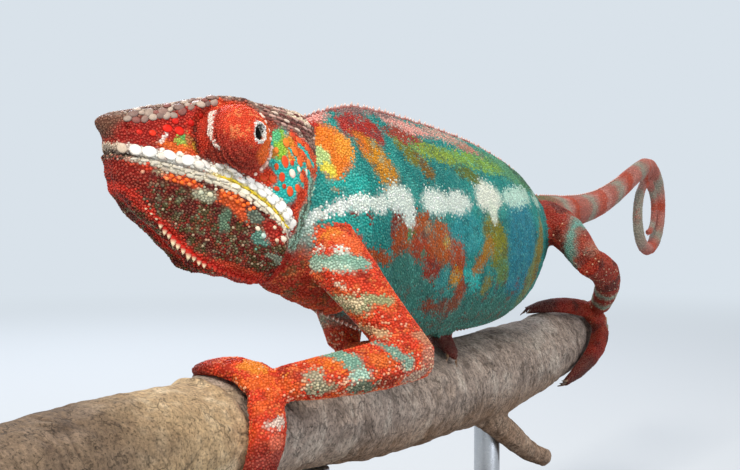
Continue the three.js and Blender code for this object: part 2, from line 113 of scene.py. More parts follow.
def pick(*objects):
    """Selects these objects alone. The last one is the active one."""
    bpy.ops.object.select_all(action="DESELECT")
    for thing in objects:
        thing.select_set(True)
    bpy.context.view_layer.objects.active = objects[-1]


def finish_modifiers(thing):
    pick(thing)
    for modifier in list(thing.modifiers):
        bpy.ops.object.modifier_apply(modifier=modifier.name)


def edit_all(operator, **settings):
    """Runs one edit on the whole mesh of the active object."""
    bpy.ops.object.mode_set(mode="EDIT")
    bpy.ops.mesh.select_all(action="SELECT")
    operator(**settings)
    bpy.ops.object.mode_set(mode="OBJECT")


def melt(thing, face_size):
    """Makes one closed mesh of everything in a mesh."""
    remesh = thing.modifiers.new("melt", "REMESH")
    remesh.mode = "VOXEL"
    remesh.voxel_size = face_size
    remesh.use_smooth_shade = True
    finish_modifiers(thing)


def read(items, name, width=1, kind=float):
    """One property of every item, in a row of its own if it is more than one number."""
    values = np.empty(len(items) * width, kind)
    items.foreach_get(name, values)
    return values.reshape(-1, width) if width > 1 else values


# %% Floor and background
BACKGROUND = "#D9E2EA"
FLOOR_COLOUR = "#C9CDD0"
FLOOR_RADIUS = 6.0
FLOOR_FADES = (0.35, 1.3)      # metres from the middle

pick(camera)
bpy.ops.mesh.primitive_circle_add(vertices=96, radius=FLOOR_RADIUS, fill_type="NGON")
floor = bpy.context.object
floor.name = "studio_floor"
material, tree, output = new_material("painted studio floor")
where = add_node(tree, "ShaderNodeTexCoord")
reach = add_node(tree, "ShaderNodeVectorMath", {"operation": "LENGTH"}, {0: where.outputs["Object"]})
fade = add_node(tree, "ShaderNodeMapRange", {"interpolation_type": "SMOOTHSTEP"},
                {"Value": reach.outputs["Value"], "From Min": FLOOR_FADES[0], "From Max": FLOOR_FADES[1]})
path = add_node(tree, "ShaderNodeLightPath")
seen = add_node(tree, "ShaderNodeMath", {"operation": "MULTIPLY"},
                {0: fade.outputs["Result"], 1: path.outputs["Is Camera Ray"]})
matt = add_node(tree, "ShaderNodeBsdfDiffuse", inputs={"Color": rgba(FLOOR_COLOUR)})
glow = add_node(tree, "ShaderNodeEmission", inputs={"Color": rgba(BACKGROUND), "Strength": 1.0})
mixed = add_node(tree, "ShaderNodeMixShader",
                 inputs={0: seen.outputs[0], 1: matt.outputs[0], 2: glow.outputs[0]})
tree.links.new(mixed.outputs[0], output.inputs["Surface"])
floor.data.materials.append(material)

world = bpy.data.worlds.new("studio air")
scene.world = world
world.use_nodes = True
tree = world.node_tree
tree.nodes.clear()
output = add_node(tree, "ShaderNodeOutputWorld")
path = add_node(tree, "ShaderNodeLightPath")
shown = add_node(tree, "ShaderNodeMath", {"operation": "MAXIMUM"},
                 {0: path.outputs["Is Camera Ray"], 1: path.outputs["Is Glossy Ray"]})
shown = add_node(tree, "ShaderNodeMath", {"operation": "MAXIMUM"},
                 {0: shown.outputs[0], 1: path.outputs["Is Transmission Ray"]})
air = add_node(tree, "ShaderNodeBackground", inputs={"Color": rgba("#EAF0F6"), "Strength": 0.5})
back = add_node(tree, "ShaderNodeBackground", inputs={"Color": rgba(BACKGROUND), "Strength": 1.0})
mixed = add_node(tree, "ShaderNodeMixShader",
                 inputs={0: shown.outputs[0], 1: air.outputs[0], 2: back.outputs[0]})
tree.links.new(mixed.outputs[0], output.inputs["Surface"])

# %% Lamps
AIM = Vector((0.0, -0.06, 0.12))      # where every lamp points


def lamp(name, place, size, watts, colour):
    bpy.ops.object.light_add(type="AREA", location=place)
    light = bpy.context.object
    light.name = name
    light.rotation_euler = (AIM - Vector(place)).to_track_quat("-Z", "Y").to_euler()
    light.data.shape = "DISK"
    light.data.size = size
    light.data.energy = watts
    light.data.color = linear(colour)


lamp("key_lamp", (0.15, -0.75, 0.95), 0.38, 12.5, "#FFF6EA")
lamp("fill_lamp", (0.95, -0.15, 0.35), 0.7, 4.0, "#F2F6FF")
lamp("back_lamp", (-0.7, 0.55, 0.8), 0.5, 8.0, "#EEF4FF")

# %% [markdown]
# ## One skin over the whole body
# A chameleon has one skin from lip to tail tip. It could be a sculpted mesh, but the body's parts
# already have the right size and place. So their copies are swollen until they touch, joined, and
# melted into one closed mesh by a voxel remesh. Smoothing then takes the flat facets away. The
# head gets finer faces than the rest, because it carries the eyelids, lips and ridges.

# %% Copies of the fleshy parts, melted together
FLESH = [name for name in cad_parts
         if not name.startswith(("eye_", "claw_", "perch_", "stand_"))]
SWELL = 0.4 * MM         # closes the gaps between the parts
VOXEL = 0.9 * MM


def copy_of(node, title):
    """A free copy of a node, with its loose triangles merged."""
    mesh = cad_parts[node].data.copy()
    mesh.materials.clear()
    thing = bpy.data.objects.new(title, mesh)
    scene.collection.objects.link(thing)
    pick(thing)
    edit_all(bpy.ops.mesh.remove_doubles, threshold=1e-6)
    return thing


def places_of(mesh):
    return read(mesh.vertices, "co", 3)


def put_places(mesh, co):
    mesh.vertices.foreach_set("co", co.ravel())
    mesh.update()


copies = [copy_of(name, "flesh_" + name) for name in FLESH]
tree_points, tree_faces, owner_of_face = [], [], []
for name, thing in zip(FLESH, copies):
    start = len(tree_points)
    tree_points.extend(v.co.copy() for v in thing.data.vertices)
    tree_faces.extend([start + k for k in face.vertices] for face in thing.data.polygons)
    owner_of_face.extend([name] * len(thing.data.polygons))
owner_tree = BVHTree.FromPolygons(tree_points, tree_faces)
pick(*copies)
bpy.ops.object.join()
skin = bpy.context.object
skin.name = skin.data.name = "skin"
edit_all(bpy.ops.transform.shrink_fatten, value=SWELL)
melt(skin, VOXEL)
print("skin after melting:", len(skin.data.polygons), "faces")

# %% The head's own frame
HEAD_YAW = math.radians(-27)
HEAD_PITCH = math.radians(-21)
TURRET_SEAT = np.array([8.2, 25.0, 10.6])      # mm, left turret, in the head's frame
TURRET_RADIUS = 7.5
TURRET_AIM = np.array([0.93, 0.3, 0.2]) / np.linalg.norm([0.93, 0.3, 0.2])
HEAD_SEAT = np.array([-18.9, -113.6, 137.0])   # mm, the front of the mouth

yaw_turn = np.array([[math.cos(HEAD_YAW), -math.sin(HEAD_YAW), 0],
                     [math.sin(HEAD_YAW), math.cos(HEAD_YAW), 0], [0, 0, 1]])
pitch_turn = np.array([[1, 0, 0], [0, math.cos(HEAD_PITCH), -math.sin(HEAD_PITCH)],
                       [0, math.sin(HEAD_PITCH), math.cos(HEAD_PITCH)]])
HEAD_TURN = yaw_turn @ pitch_turn


def to_head(points_mm):
    """World millimetres to head millimetres: left of the middle, back from the lips, up."""
    return (points_mm - HEAD_SEAT) @ HEAD_TURN


def from_head(points_mm):
    return np.asarray(points_mm) @ HEAD_TURN.T + HEAD_SEAT


turret_middle = (np.array(sum(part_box("turret_left"), Vector())) / 2
                 + np.array(sum(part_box("turret_right"), Vector())) / 2) / 2 / MM
print("middle between the turrets, in the head's frame:", to_head(turret_middle).round(1))


# %% Helpers for smoothing and for lumps
def smoothed(co, edges, share, rounds, give=0.5, take=-0.52):
    """Rounds of smoothing that keep the volume. share says how much each point takes part."""
    count = np.maximum(np.bincount(edges.ravel(), minlength=len(co)), 1)[:, None]
    for _ in range(rounds):
        for step in (give, take):
            total = np.stack([
                np.bincount(edges[:, 0], co[edges[:, 1], axis], len(co))
                + np.bincount(edges[:, 1], co[edges[:, 0], axis], len(co)) for axis in range(3)], 1)
            co = co + step * share[:, None] * (total / count - co)
    return co


def edges_of(mesh):
    return read(mesh.edges, "vertices", 2, np.int64)


def normals_of(mesh):
    return read(mesh.vertex_normals, "vector", 3)


def lumps(points, size, seed=0):
    """Smooth noise from -1 to 1, with lumps of about this size, in the points' own unit."""
    place = points / size + seed * 7.31
    cell = np.floor(place).astype(np.int64)
    part = place - cell
    part = part * part * (3 - 2 * part)
    total = np.zeros(len(points))
    for corner in np.ndindex(2, 2, 2):
        at = cell + corner
        knot = (at[:, 0] * 73856093) ^ (at[:, 1] * 19349663) ^ (at[:, 2] * 83492791)
        value = ((knot * 2654435761 >> 11) & 0xFFFF) / 32767.5 - 1
        total += value * np.prod(np.where(corner, part, 1 - part), axis=1)
    return total


def step_between(low, high, value):
    """0 below low, 1 above high, and smooth between."""
    t = np.clip((value - low) / (high - low), 0, 1)
    return t * t * (3 - 2 * t)


def bump_at(value, middle, width):
    """A smooth hill of height 1 round the middle."""
    return np.exp(-((value - middle) / width) ** 2)


def owners(points):
    """The name of the CAD part under each point (metres)."""
    return np.array([owner_of_face[owner_tree.find_nearest(Vector(p))[2]] for p in points])


# %% Smoothing, and finer faces on the head
def group_of(part):
    """The body region that a part belongs to."""
    if part in ("head", "neck", "trunk"):
        return part
    if part == "lower_jaw":
        return "jaw"
    return part.split("_")[0]


SMOOTHING = {"head": 1.0, "jaw": 1.0, "turret": 1.0, "neck": 1.0, "trunk": 1.0, "tail": 0.5,
             "upper": 0.6, "lower": 0.6, "foot": 0.4, "toes": 0.25}

SMOOTH_ROUNDS, FINE_ROUNDS = 26, 6      # on the whole skin, then on the head's finer faces


def regions_of(parts):
    return np.array([group_of(part) for part in parts])


regions = regions_of(owners(places_of(skin.data)))
share = np.array([SMOOTHING[region] for region in regions])
put_places(skin.data, smoothed(places_of(skin.data), edges_of(skin.data), share, SMOOTH_ROUNDS))

HEAD_BACK = 46.0      # mm from the lips: the finer faces end here
back_of = to_head(places_of(skin.data) / MM)[:, 1]
fine = np.isin(regions, ["head", "jaw", "turret"]) & (back_of < HEAD_BACK)
corners = read(skin.data.loops, "vertex_index", 1, np.int64)
starts = read(skin.data.polygons, "loop_start", 1, np.int64)
fine_face = np.minimum.reduceat(fine[corners].astype(np.int64), starts) > 0
pick(skin)
bpy.ops.object.mode_set(mode="EDIT")
bpy.ops.mesh.select_mode(type="FACE")
bpy.ops.mesh.select_all(action="DESELECT")
bpy.ops.object.mode_set(mode="OBJECT")
skin.data.polygons.foreach_set("select", fine_face)
bpy.ops.object.mode_set(mode="EDIT")
bpy.ops.mesh.subdivide(number_cuts=1)
bpy.ops.object.mode_set(mode="OBJECT")
regions = regions_of(owners(places_of(skin.data)))
share = np.where(np.isin(regions, ["head", "jaw", "turret"]), 1.0, 0.0)
put_places(skin.data, smoothed(places_of(skin.data), edges_of(skin.data), share, FINE_ROUNDS))
skin.data.calc_loop_triangles()
print("skin:", len(skin.data.loop_triangles), "triangles,", int(fine_face.sum()), "faces made finer")

# %% [markdown]
# ## Lids, lips, folds and joints
# The skin now has the body's form and none of its folds. Each fold is a small move of the skin
# along its own outward direction, written as a formula in the head's frame or the body's:
# the ring groove where an eye turret leaves the head, its concentric wrinkles, the lid round the
# eye, the mouth line between the lips, the nostril, the folds of the throat and neck.

# %% The mouth line, the turrets and the folds
MOUTH_BACKS = [-1.4, 1, 5, 10, 15, 20, 24, 28, 32, 36, 40, 43, 44.6]       # mm from the lips
MOUTH_UPS = [-2.0, -1.8, -1.1, -0.1, 0.6, 1.2, 1.6, 1.6, 1.1, 0.1, -1.5, -3.2, -4.3]
EYE_OPENING = 1.45      # mm, half the gap between the lids
EYE_NARROW = 0.82      # its width over its height
LID_RING = 1.0      # mm, the pale ring above and below the gap
RING_NARROW = 0.76      # the ring's width over its height
EYE_UP = np.array([-0.206, -0.222, 0.953])      # the gap's own upright, in the head's frame
EYE_ACROSS = np.cross(EYE_UP, TURRET_AIM)
CRESCENT = TURRET_RADIUS * np.array([[0.02, -0.91, 0.42], [0.3, -0.95, -0.08], [0.42, -0.8, -0.43],
                                     [0.58, -0.52, -0.64]])    # the pale fold at a turret's front
CRESCENT_HALF = [0.95, 0.8, 0.5, 0.1]      # mm, its half width at those places
RIPPLES = 35      # wrinkles in a whole turn from the eye's aim
COAT_DEPTH = 0.35 * MM      # the skin lies this far under the scales


def mouth_line(back):
    return np.interp(back, MOUTH_BACKS, MOUTH_UPS)


def near_path(points, path, halves):
    """How far each point lies outside a band along a path of straight pieces. halves are the
    band's half widths at the path's places, in the points' own unit."""
    nearest = np.full(len(points), 1e9)
    for k in range(len(path) - 1):
        start, piece = np.array(path[k], float), np.subtract(path[k + 1], path[k])
        share = np.clip(((points - start) @ piece) / (piece @ piece), 0, 1)
        half = halves[k] + share * (halves[k + 1] - halves[k])
        away = np.linalg.norm(points - start - share[:, None] * piece, axis=1)
        nearest = np.minimum(nearest, away - half)
    return nearest


def turret_places(head_points):
    """On either turret: degrees from the eye's aim; millimetres from its middle, from the middle of
    the lids' gap (counted so that the gap is a circle), outside the pale fold, and from the gap's
    middle again (counted so that the pale ring is a circle)."""
    there = np.column_stack([np.abs(head_points[:, 0]), head_points[:, 1:]]) - TURRET_SEAT
    far = np.linalg.norm(there, axis=1)
    ahead = there / np.maximum(far, 1e-6)[:, None]
    angle = np.degrees(np.arccos(np.clip(ahead @ TURRET_AIM, -1, 1)))
    across, over = TURRET_RADIUS * (ahead @ EYE_ACROSS), TURRET_RADIUS * (ahead @ EYE_UP)
    reach, ring = (np.where(angle < 80, np.hypot(across / narrow, over), 99)
                   for narrow in (EYE_NARROW, RING_NARROW))
    return angle, far, reach, near_path(ahead * TURRET_RADIUS, CRESCENT, CRESCENT_HALF), ring


def fold_heights(points_mm, regions):
    """How far each point of the skin moves outwards, in millimetres."""
    head = to_head(points_mm)
    side, back, up = np.abs(head[:, 0]), head[:, 1], head[:, 2]
    on_head = np.isin(regions, ["head", "jaw", "turret"])
    # the snout's tip, drawn in at the mouth
    lift = -1.25 * on_head * step_between(6.5, 0.5, back) * bump_at(up, -0.6, 2.7)
    # the mouth line, with a lip above it and below it
    above = up - mouth_line(back)
    at_front = step_between(9, 4, back)
    on_lips = on_head * (regions != "turret") * np.maximum(step_between(0.5, 3, side), at_front)
    on_lips = on_lips * step_between(46, 43, back)
    lift -= on_lips * (0.5 + 0.6 * at_front) * bump_at(above, 0, 0.36 + 0.22 * at_front)
    lift += 0.34 * on_lips * bump_at(above, 1.3, 0.9)
    lift += 0.3 * on_lips * bump_at(above, -1.0, 0.7)
    lift -= 0.25 * on_lips * bump_at(above, -2.3, 0.5) * step_between(8, 12, back)
    # an eye turret: its wrinkles, the pale fold, the lid's rim and the opening
    angle, far, reach, from_fold = turret_places(head)[:4]
    on_turret = on_head * step_between(TURRET_RADIUS + 2.2, TURRET_RADIUS + 0.8, far)
    ripple = np.cos(np.radians(angle) * RIPPLES)
    lift += 0.11 * on_turret * step_between(24, 34, angle) * ripple
    lift += 0.28 * on_turret * step_between(58, 74, angle) * step_between(12.5, 8.5, up) * ripple
    lift += 0.3 * on_turret * step_between(0.3, -0.3, from_fold)
    lift -= 0.32 * on_turret * bump_at(from_fold, 0.5, 0.3)
    lift += 0.3 * on_turret * bump_at(reach, EYE_OPENING + 0.45, 0.3)
    lift -= 1.6 * on_turret * step_between(EYE_OPENING + 0.25, EYE_OPENING - 0.25, reach)
    # the groove round a turret's foot, and the rim outside it
    root = on_head * bump_at(far, TURRET_RADIUS + 0.9, 0.55) * step_between(70, 85, angle)
    lift -= 1.0 * root
    lift += 0.5 * on_head * bump_at(far, TURRET_RADIUS + 2.5, 0.7) * step_between(70, 85, angle)
    # the nostril and its rim
    nostril = np.hypot(back - 3.6, up - 4.4)
    lift -= 0.9 * on_head * bump_at(nostril, 0, 0.6) * step_between(0.5, 2, side)
    lift += 0.25 * on_head * bump_at(nostril, 1.25, 0.4) * step_between(0.5, 2, side)
    # the chin, and the throat's long folds
    jaw = regions == "jaw"
    lift -= 0.9 * jaw * step_between(9, 2, back) * bump_at(above, -3.6, 2.8)
    lift += 0.16 * jaw * np.cos((above + 0.08 * back) * 2 * math.pi / 3.6) * step_between(-3, -5, above)
    # the neck's folds, faint ribs, and a little unevenness
    neck = (regions == "neck") | (on_head & (back > 43))
    across = points_mm[:, 1] + 0.35 * (points_mm[:, 2] - 110)
    lift += 0.35 * neck * np.cos(across * 2 * math.pi / 4.6) * step_between(134, 118, points_mm[:, 2])
    trunk = regions == "trunk"
    rib = points_mm[:, 1] + 0.3 * (points_mm[:, 2] - 120)
    lift += 0.12 * trunk * np.cos(rib * 2 * math.pi / 7.5) * step_between(92, 104, points_mm[:, 2])
    lift += 0.1 * lumps(points_mm, 3.1, 3) * np.isin(regions, ["trunk", "neck", "upper", "lower"])
    lift += 0.12 * lumps(points_mm, 2.2, 5) * np.isin(regions, ["head", "jaw"])
    return lift


co = places_of(skin.data)
lift = fold_heights(co / MM, regions) * MM - COAT_DEPTH - SWELL * 0.6
co = co + normals_of(skin.data) * lift[:, None]
put_places(skin.data, smoothed(co, edges_of(skin.data), np.full(len(co), 0.5), 1))
print("folds go in by", round(-lift.min() / MM, 2), "mm and out by", round(lift.max() / MM, 2), "mm")

# %% [markdown]
# ## The markings
# A panther chameleon's colours sit in the skin and in every scale alike. So one function gives
# the colour at any place on the body, and both the skin and the scales ask it. It lays ovals of
# named colours over a ground colour, in the order written, like thin paint. The ovals' places are
# in millimetres: along the body and up on the flank, and in the head's own frame on the head.
# Noise bends every edge a little, so that none looks drawn.

# %% Named colours
TEAL, DEEP_TEAL, BRIGHT_TEAL = "#1C938B", "#0E6A68", "#34C6BC"
BLUE_TEAL, GREY_TEAL = "#26889A", "#3A8072"
WHITE, MINT = "#ECF8EC", "#C4E6D6"
ORANGE, AMBER, YELLOW = "#F07F1C", "#DA921C", "#EDDC4C"
SCARLET, RED, BLOOD, MAROON = "#E03C12", "#BC200F", "#8A1A0C", "#52120E"
RUST, OLIVE, MOSS, PINK = "#B04C1A", "#847F24", "#56663A", "#E0948A"

# %% Ovals on the flank: colour, (along, up), (half length, half height), tilt in degrees
FLANK_OVALS = [
    (BLUE_TEAL, (32, 110), (13, 17), 0), (GREY_TEAL, (-36, 103), (16, 9), -20),
    (GREY_TEAL, (0, 93), (40, 6), 0), (BRIGHT_TEAL, (-3, 104), (6, 2.6), -28),
    ("#2E9FA2", (-9, 116), (11, 5.5), 0), ("#1A8580", (-20, 131), (16, 4), -3),
    ("#55946A", (40, 134), (30, 4.5), -8), ("#3F6A4A", (60, 131), (18, 5), -14),
    ("#8FA840", (-14, 137.4), (16, 2.3), -5), ("#86B04A", (12, 135.6), (20, 2.4), -5),
    (OLIVE, (-33, 137), (6, 3), -30), ("#85601C", (-26, 134), (5, 2.6), -30),
    ("#68762A", (0, 132), (8, 2), -6), ("#B42A24", (-53, 142.5), (8, 3.2), 8),
    ("#B82E20", (-46, 141), (3.2, 3), 0), ("#A8402E", (-31, 141.4), (11, 1.7), -4),
    # The two pale pink ovals on the next line are a painted highlight along the back's ridge.
    ("#EBA498", (-22, 144), (15, 1.9), -5), ("#D9A898", (2, 142.6), (14, 1.6), -7),
    ("#C08872", (12, 139.8), (10, 1.3), -7), ("#93706C", (-40, 147.4), (34, 1.6), 2),
    ("#8A9488", (10, 144.6), (30, 1.5), -7), (AMBER, (-50.5, 134.6), (8.2, 4.3), -38),
    (ORANGE, (-55, 138), (2.4, 2.2), 0), (ORANGE, (-67.5, 136.5), (5.4, 6.5), -25),
    ("#F49A2C", (-63, 137), (3, 3.4), 0), (ORANGE, (-69, 129.4), (3, 2.6), 0),
    ("#BFD98C", (-71.4, 135.2), (2.4, 2.6), 0), (YELLOW, (-70.8, 131.8), (2, 1.8), 0),
    (RED, (-70, 142), (5, 2), 20), (PINK, (-67, 144.5), (6, 1.4), 15),
    ("#22B2A6", (-64, 128.6), (9, 1.8), 0), ("#1FA79C", (-64, 120), (9, 3), 0),
    ("#A9C4B6", (-79, 118), (3.2, 5), 10), ("#6FA090", (-75, 112), (3, 2.2), 0),
    ("#E2501E", (-73, 116.8), (4, 2.2), -30), (BLOOD, (-64, 121.6), (1.4, 0.9), 0),
    (BLOOD, (-58, 121.2), (1.2, 0.8), 0), (SCARLET, (-66, 116), (7, 1.7), -22),
    (RUST, (-55, 111.4), (8, 1.8), -4), ("#8E270F", (-46.5, 117), (2.6, 5), 8),
    (RUST, (-45, 114.6), (3.4, 3), 0), (RUST, (-38, 116.8), (7.6, 5), -20),
    ("#BB561C", (-34, 119.6), (4, 2.4), 0), ("#5C8A4E", (-39, 115.8), (2, 1.5), 0),
    ("#B3401A", (-33, 112.6), (6, 3), -20), ("#C45C1C", (-22.5, 113.4), (8, 5.2), -28),
    ("#D0AA50", (-20.4, 113.8), (2.5, 1.3), -8), ("#C9986F", (-30.6, 118), (1.8, 1.1), 0),
    ("#5C8468", (-32.6, 111.4), (1.5, 1.1), 0), ("#9E2A0F", (-26.5, 107.6), (4.4, 2.8), -8),
    ("#3C9C98", (-20, 104.6), (3.1, 2.9), 0), ("#B8461A", (-13.4, 109.6), (5.6, 3.6), -45),
    (AMBER, (-13, 104.6), (3.2, 2.3), -20), ("#AC481F", (-8.4, 99.6), (2.6, 4.6), 20),
    ("#923E20", (-22, 97.2), (5, 1.7), -4), ("#8E492C", (-11.6, 96.6), (6, 2), -8),
    (GREY_TEAL, (-14, 101), (2.4, 1.6), 0), ("#877C1C", (9, 116), (7, 4.6), -14),
    ("#8E8C1F", (13, 111.4), (6.4, 5.6), -30), ("#C0761C", (0.8, 107.8), (5, 3), 24),
    ("#B27C1E", (5, 111.8), (3.6, 3.2), 0), ("#6E8F4C", (17, 104.6), (6, 3.6), -40),
    ("#8C843A", (8, 101), (3.4, 2.6), 0), ("#84925A", (44, 102), (5, 12), -24),
    ("#92803A", (50, 108), (5, 12), -18), ("#2C8A86", (66, 118), (6, 8), -14),
    (RUST, (76, 116), (5, 8), 0),
]
STRIPE_OVALS = [
    ("#D8E6DC", (-77.5, 120.6), (5, 1.5), 24), ("#E9F2EA", (-69, 123.4), (8, 1.7), 14),
    (WHITE, (-60.5, 124.3), (4.4, 2.2), 4), (WHITE, (-54, 123.9), (3.6, 2.3), 0),
    (WHITE, (-44.2, 125.2), (7.4, 3.6), -4), (WHITE, (-40, 121.6), (3.2, 4), 10),
    (WHITE, (-25.4, 124.5), (7.6, 3.5), 0), ("#E6F1E6", (-11.8, 124.3), (7.8, 3.3), 0),
    ("#F0F5E4", (9, 126), (9, 4.3), 0), ("#E4EEDA", (10.4, 121.6), (3, 3.4), 0),
    (MINT, (32, 125.8), (12.8, 3), 3), ("#B4D4C4", (43, 126.6), (5, 2.8), 0),
    ("#A9C9B8", (57, 125), (7, 2.2), 0),
]

# %% Ovals on the head: colour, (back from the lips, up), (half length, half height), tilt
HEAD_OVALS = [
    ("#83281C", (3.8, 5.4), (4, 2.6), 30), ("#6E4434", (-0.4, 4.6), (4, 4.4), 0),
    ("#7A5040", (4.4, 7.4), (4.6, 1.3), 27), ("#9C1208", (7.5, 4.6), (6, 3.4), 26),
    ("#AE1A0A", (11.5, 7), (3, 2.4), 30), ("#A81409", (14.6, 11), (3, 4.6), 36),
    ("#C43014", (17.2, 8.6), (2.2, 4.6), 0), ("#E4641E", (15.6, 4.0), (5.6, 1.2), 6),
    ("#D8701C", (18, 5.6), (1.8, 1.3), 0), ("#C7A02A", (16.6, 5.8), (2.2, 0.9), 10),
    ("#5FA85A", (15.2, 6.7), (1.3, 1.2), 0), ("#9CB84A", (14.2, 5.6), (1.2, 0.7), 10),
    ("#F2DED4", (11.0, 4.9), (0.45, 1.7), -24), ("#DB4A20", (24, 19), (8, 2.4), 8),
    ("#A8402A", (30.5, 17.4), (4, 2), -25), ("#20C0B6", (35.8, 12.4), (2.9, 5.2), 0),
    ("#20C0B6", (38.4, 5.8), (4, 4.9), -16), ("#8FC43C", (35.6, 13.4), (1.4, 3.8), 6),
    ("#5FC88A", (34.2, 15), (1.4, 1.4), 0), ("#E2901E", (38.2, 13.4), (1.6, 3.2), 20),
    ("#D08A24", (34.4, 11), (1, 1.4), 0), (SCARLET, (34.2, 4.9), (2.4, 1.9), 20),
    ("#C4301C", (32.4, 7.4), (1.2, 3.4), -12), ("#E8C8B4", (33.3, 9), (0.6, 3.4), -12),
    ("#E2621E", (42, 13.4), (3.6, 3.6), -30), (SCARLET, (43, 16.4), (4.6, 2), -10),
    ("#D9401C", (43.6, 4.4), (1.7, 5.6), 10), ("#D2502A", (45.6, 11.6), (2.2, 4.4), 0),
]
CHEEK_STREAKS = [[(38, 13.2), (41.4, 10.4)], [(40.4, 15.4), (45, 12.4)], [(42, 11.4), (45.4, 9)],
                 [(39.4, 10.6), (42.6, 7)]]
# The last oval is a painted shadow: the dark notch under the upper lip at the front of the mouth.
JAW_OVALS = [
    ("#961A0E", (5.6, -3.2), (6.4, 2.8), -24), ("#CC3A1E", (8, -1.9), (4.6, 0.8), -2),
    ("#B5A484", (12.6, -2.2), (1.6, 0.7), 0), ("#DC5424", (17.4, -2.1), (4.2, 0.9), 0),
    ("#A9AC92", (22.6, -3), (2.6, 1.3), 10), ("#E45C1E", (28.4, -2.2), (3.4, 1.4), -6),
    ("#DE5620", (31.6, -4), (2.3, 1.1), -20), ("#62866C", (28.6, -6.4), (1.2, 2.7), 10),
    ("#6C8070", (34.4, -3.4), (2.4, 1.3), -10), ("#5F9A8A", (37.6, -7.1), (2.6, 1.4), 0),
    ("#B82216", (40.4, -5), (3.6, 2.1), -10), ("#84907C", (43, -9.6), (2.8, 0.9), 0),
    ("#C43C1C", (39, -14.8), (9, 1.1), 0), ("#4A1A12", (3.2, -1.1), (1.9, 0.5), 8),
]

# %% Ovals on the left foreleg: colour, (along, up), (half length, half height), tilt
ARM_OVALS = [
    ("#E8862A", (-74.5, 118), (3, 1.6), 0), ("#F06A34", (-72, 115.4), (2.6, 2), 0),
    (WHITE, (-74.4, 114.2), (1, 0.9), 0), ("#7FB8A4", (-74.2, 111.6), (3.4, 1.8), 0),
    ("#B8D8C4", (-76, 110.6), (1.2, 1.2), 0), ("#EFE0C4", (-77, 106.6), (0.9, 0.8), 0),
    ("#9AA678", (-73, 103.6), (3.2, 1.1), -6), ("#A8B088", (-75.2, 101.6), (1.3, 2.4), 0),
    ("#E8D4AC", (-75.6, 103), (0.8, 0.8), 0), ("#D8B88C", (-72.8, 96.6), (1.2, 1), 0),
    ("#C98A68", (-64.5, 95), (3.6, 1.8), -8), ("#C07E68", (-65.6, 90.6), (3, 2.8), 0),
    ("#AC9080", (-69.4, 87), (4, 1.4), 0), ("#6FA896", (-75.4, 92.8), (2, 1.7), -30),
    ("#7DAA98", (-72.8, 90.4), (1.9, 1.7), -20), ("#70B09C", (-85.2, 92), (2.3, 2.1), 0),
    ("#A9D8C4", (-84, 88.6), (2.5, 1.5), 0), ("#5C7A66", (-82.4, 86), (3.6, 1.1), 0),
    ("#A6A68C", (-91.8, 89), (1.7, 1.5), 0), ("#8E9478", (-91, 86.8), (2.9, 1.3), 0),
    ("#96260F", (-77.2, 86.8), (2.8, 1.3), 0), ("#E8701E", (-88.4, 91), (1.8, 1.3), 0),
    ("#E06A24", (-79.4, 91.4), (2.2, 1.8), 0), ("#EE8C2A", (-98, 91), (3, 1.2), 0),
    ("#E8641E", (-99.6, 88.4), (3.4, 1.5), 0), ("#DCC8B8", (-101, 80.8), (2.6, 1.1), 0),
    ("#D86A50", (-102, 77), (2, 2.2), 0), ("#A03C30", (-103, 73.6), (3.4, 1.5), 0),
    # The two ovals on the next line are painted shade: the near hand's outer toes go dark towards their lower
    # side.
    (BLOOD, (-103, 70), (6, 3), 0), (MAROON, (-103.6, 66), (6, 4), 0),
]


# %% The painter
RIDGE_BACKS = [-2, 5, 12, 16, 19, 26, 31, 40, 47]      # where the head's roof begins, in its own frame
RIDGE_UPS = [4.8, 7.4, 11.2, 15.0, 17.4, 19.4, 17.8, 17.6, 15]
GULAR_BACKS = [8, 14, 18, 20, 22, 24, 28, 33, 45]       # the row of spines under the throat
GULAR_UPS = [-7.6, -10.0, -11.9, -12.7, -13.7, -14.6, -15.7, -16.0, -15.2]


def oval_cover(across, up, middle, half, tilt, edge=0.24):
    """How much an oval covers each place, from 0 to 1."""
    turn = math.radians(tilt)
    right, high = across - middle[0], up - middle[1]
    along = (right * math.cos(turn) + high * math.sin(turn)) / half[0]
    over = (high * math.cos(turn) - right * math.sin(turn)) / half[1]
    return step_between(1 + edge, 1 - edge, np.hypot(along, over))


def lay(colours, cover, paint):
    """Lays one paint over the colours where cover says."""
    return colours + cover[:, None] * (np.array(linear(paint)) - colours)


def lay_all(colours, layers):
    """Lays paints in turn. Each layer is where it covers, and its paint."""
    for cover, paint in layers:
        colours = lay(colours, cover, paint)
    return colours


def lay_ovals(colours, across, up, ovals, where):
    for paint, middle, half, tilt in ovals:
        colours = lay(colours, oval_cover(across, up, middle, half, tilt) * where, paint)
    return colours


def speckle(points, size, seed, amount):
    """Spots of about this size. amount is the share of the place that they cover."""
    return step_between(0.45 - amount, 0.7 - amount, lumps(points, size, seed))


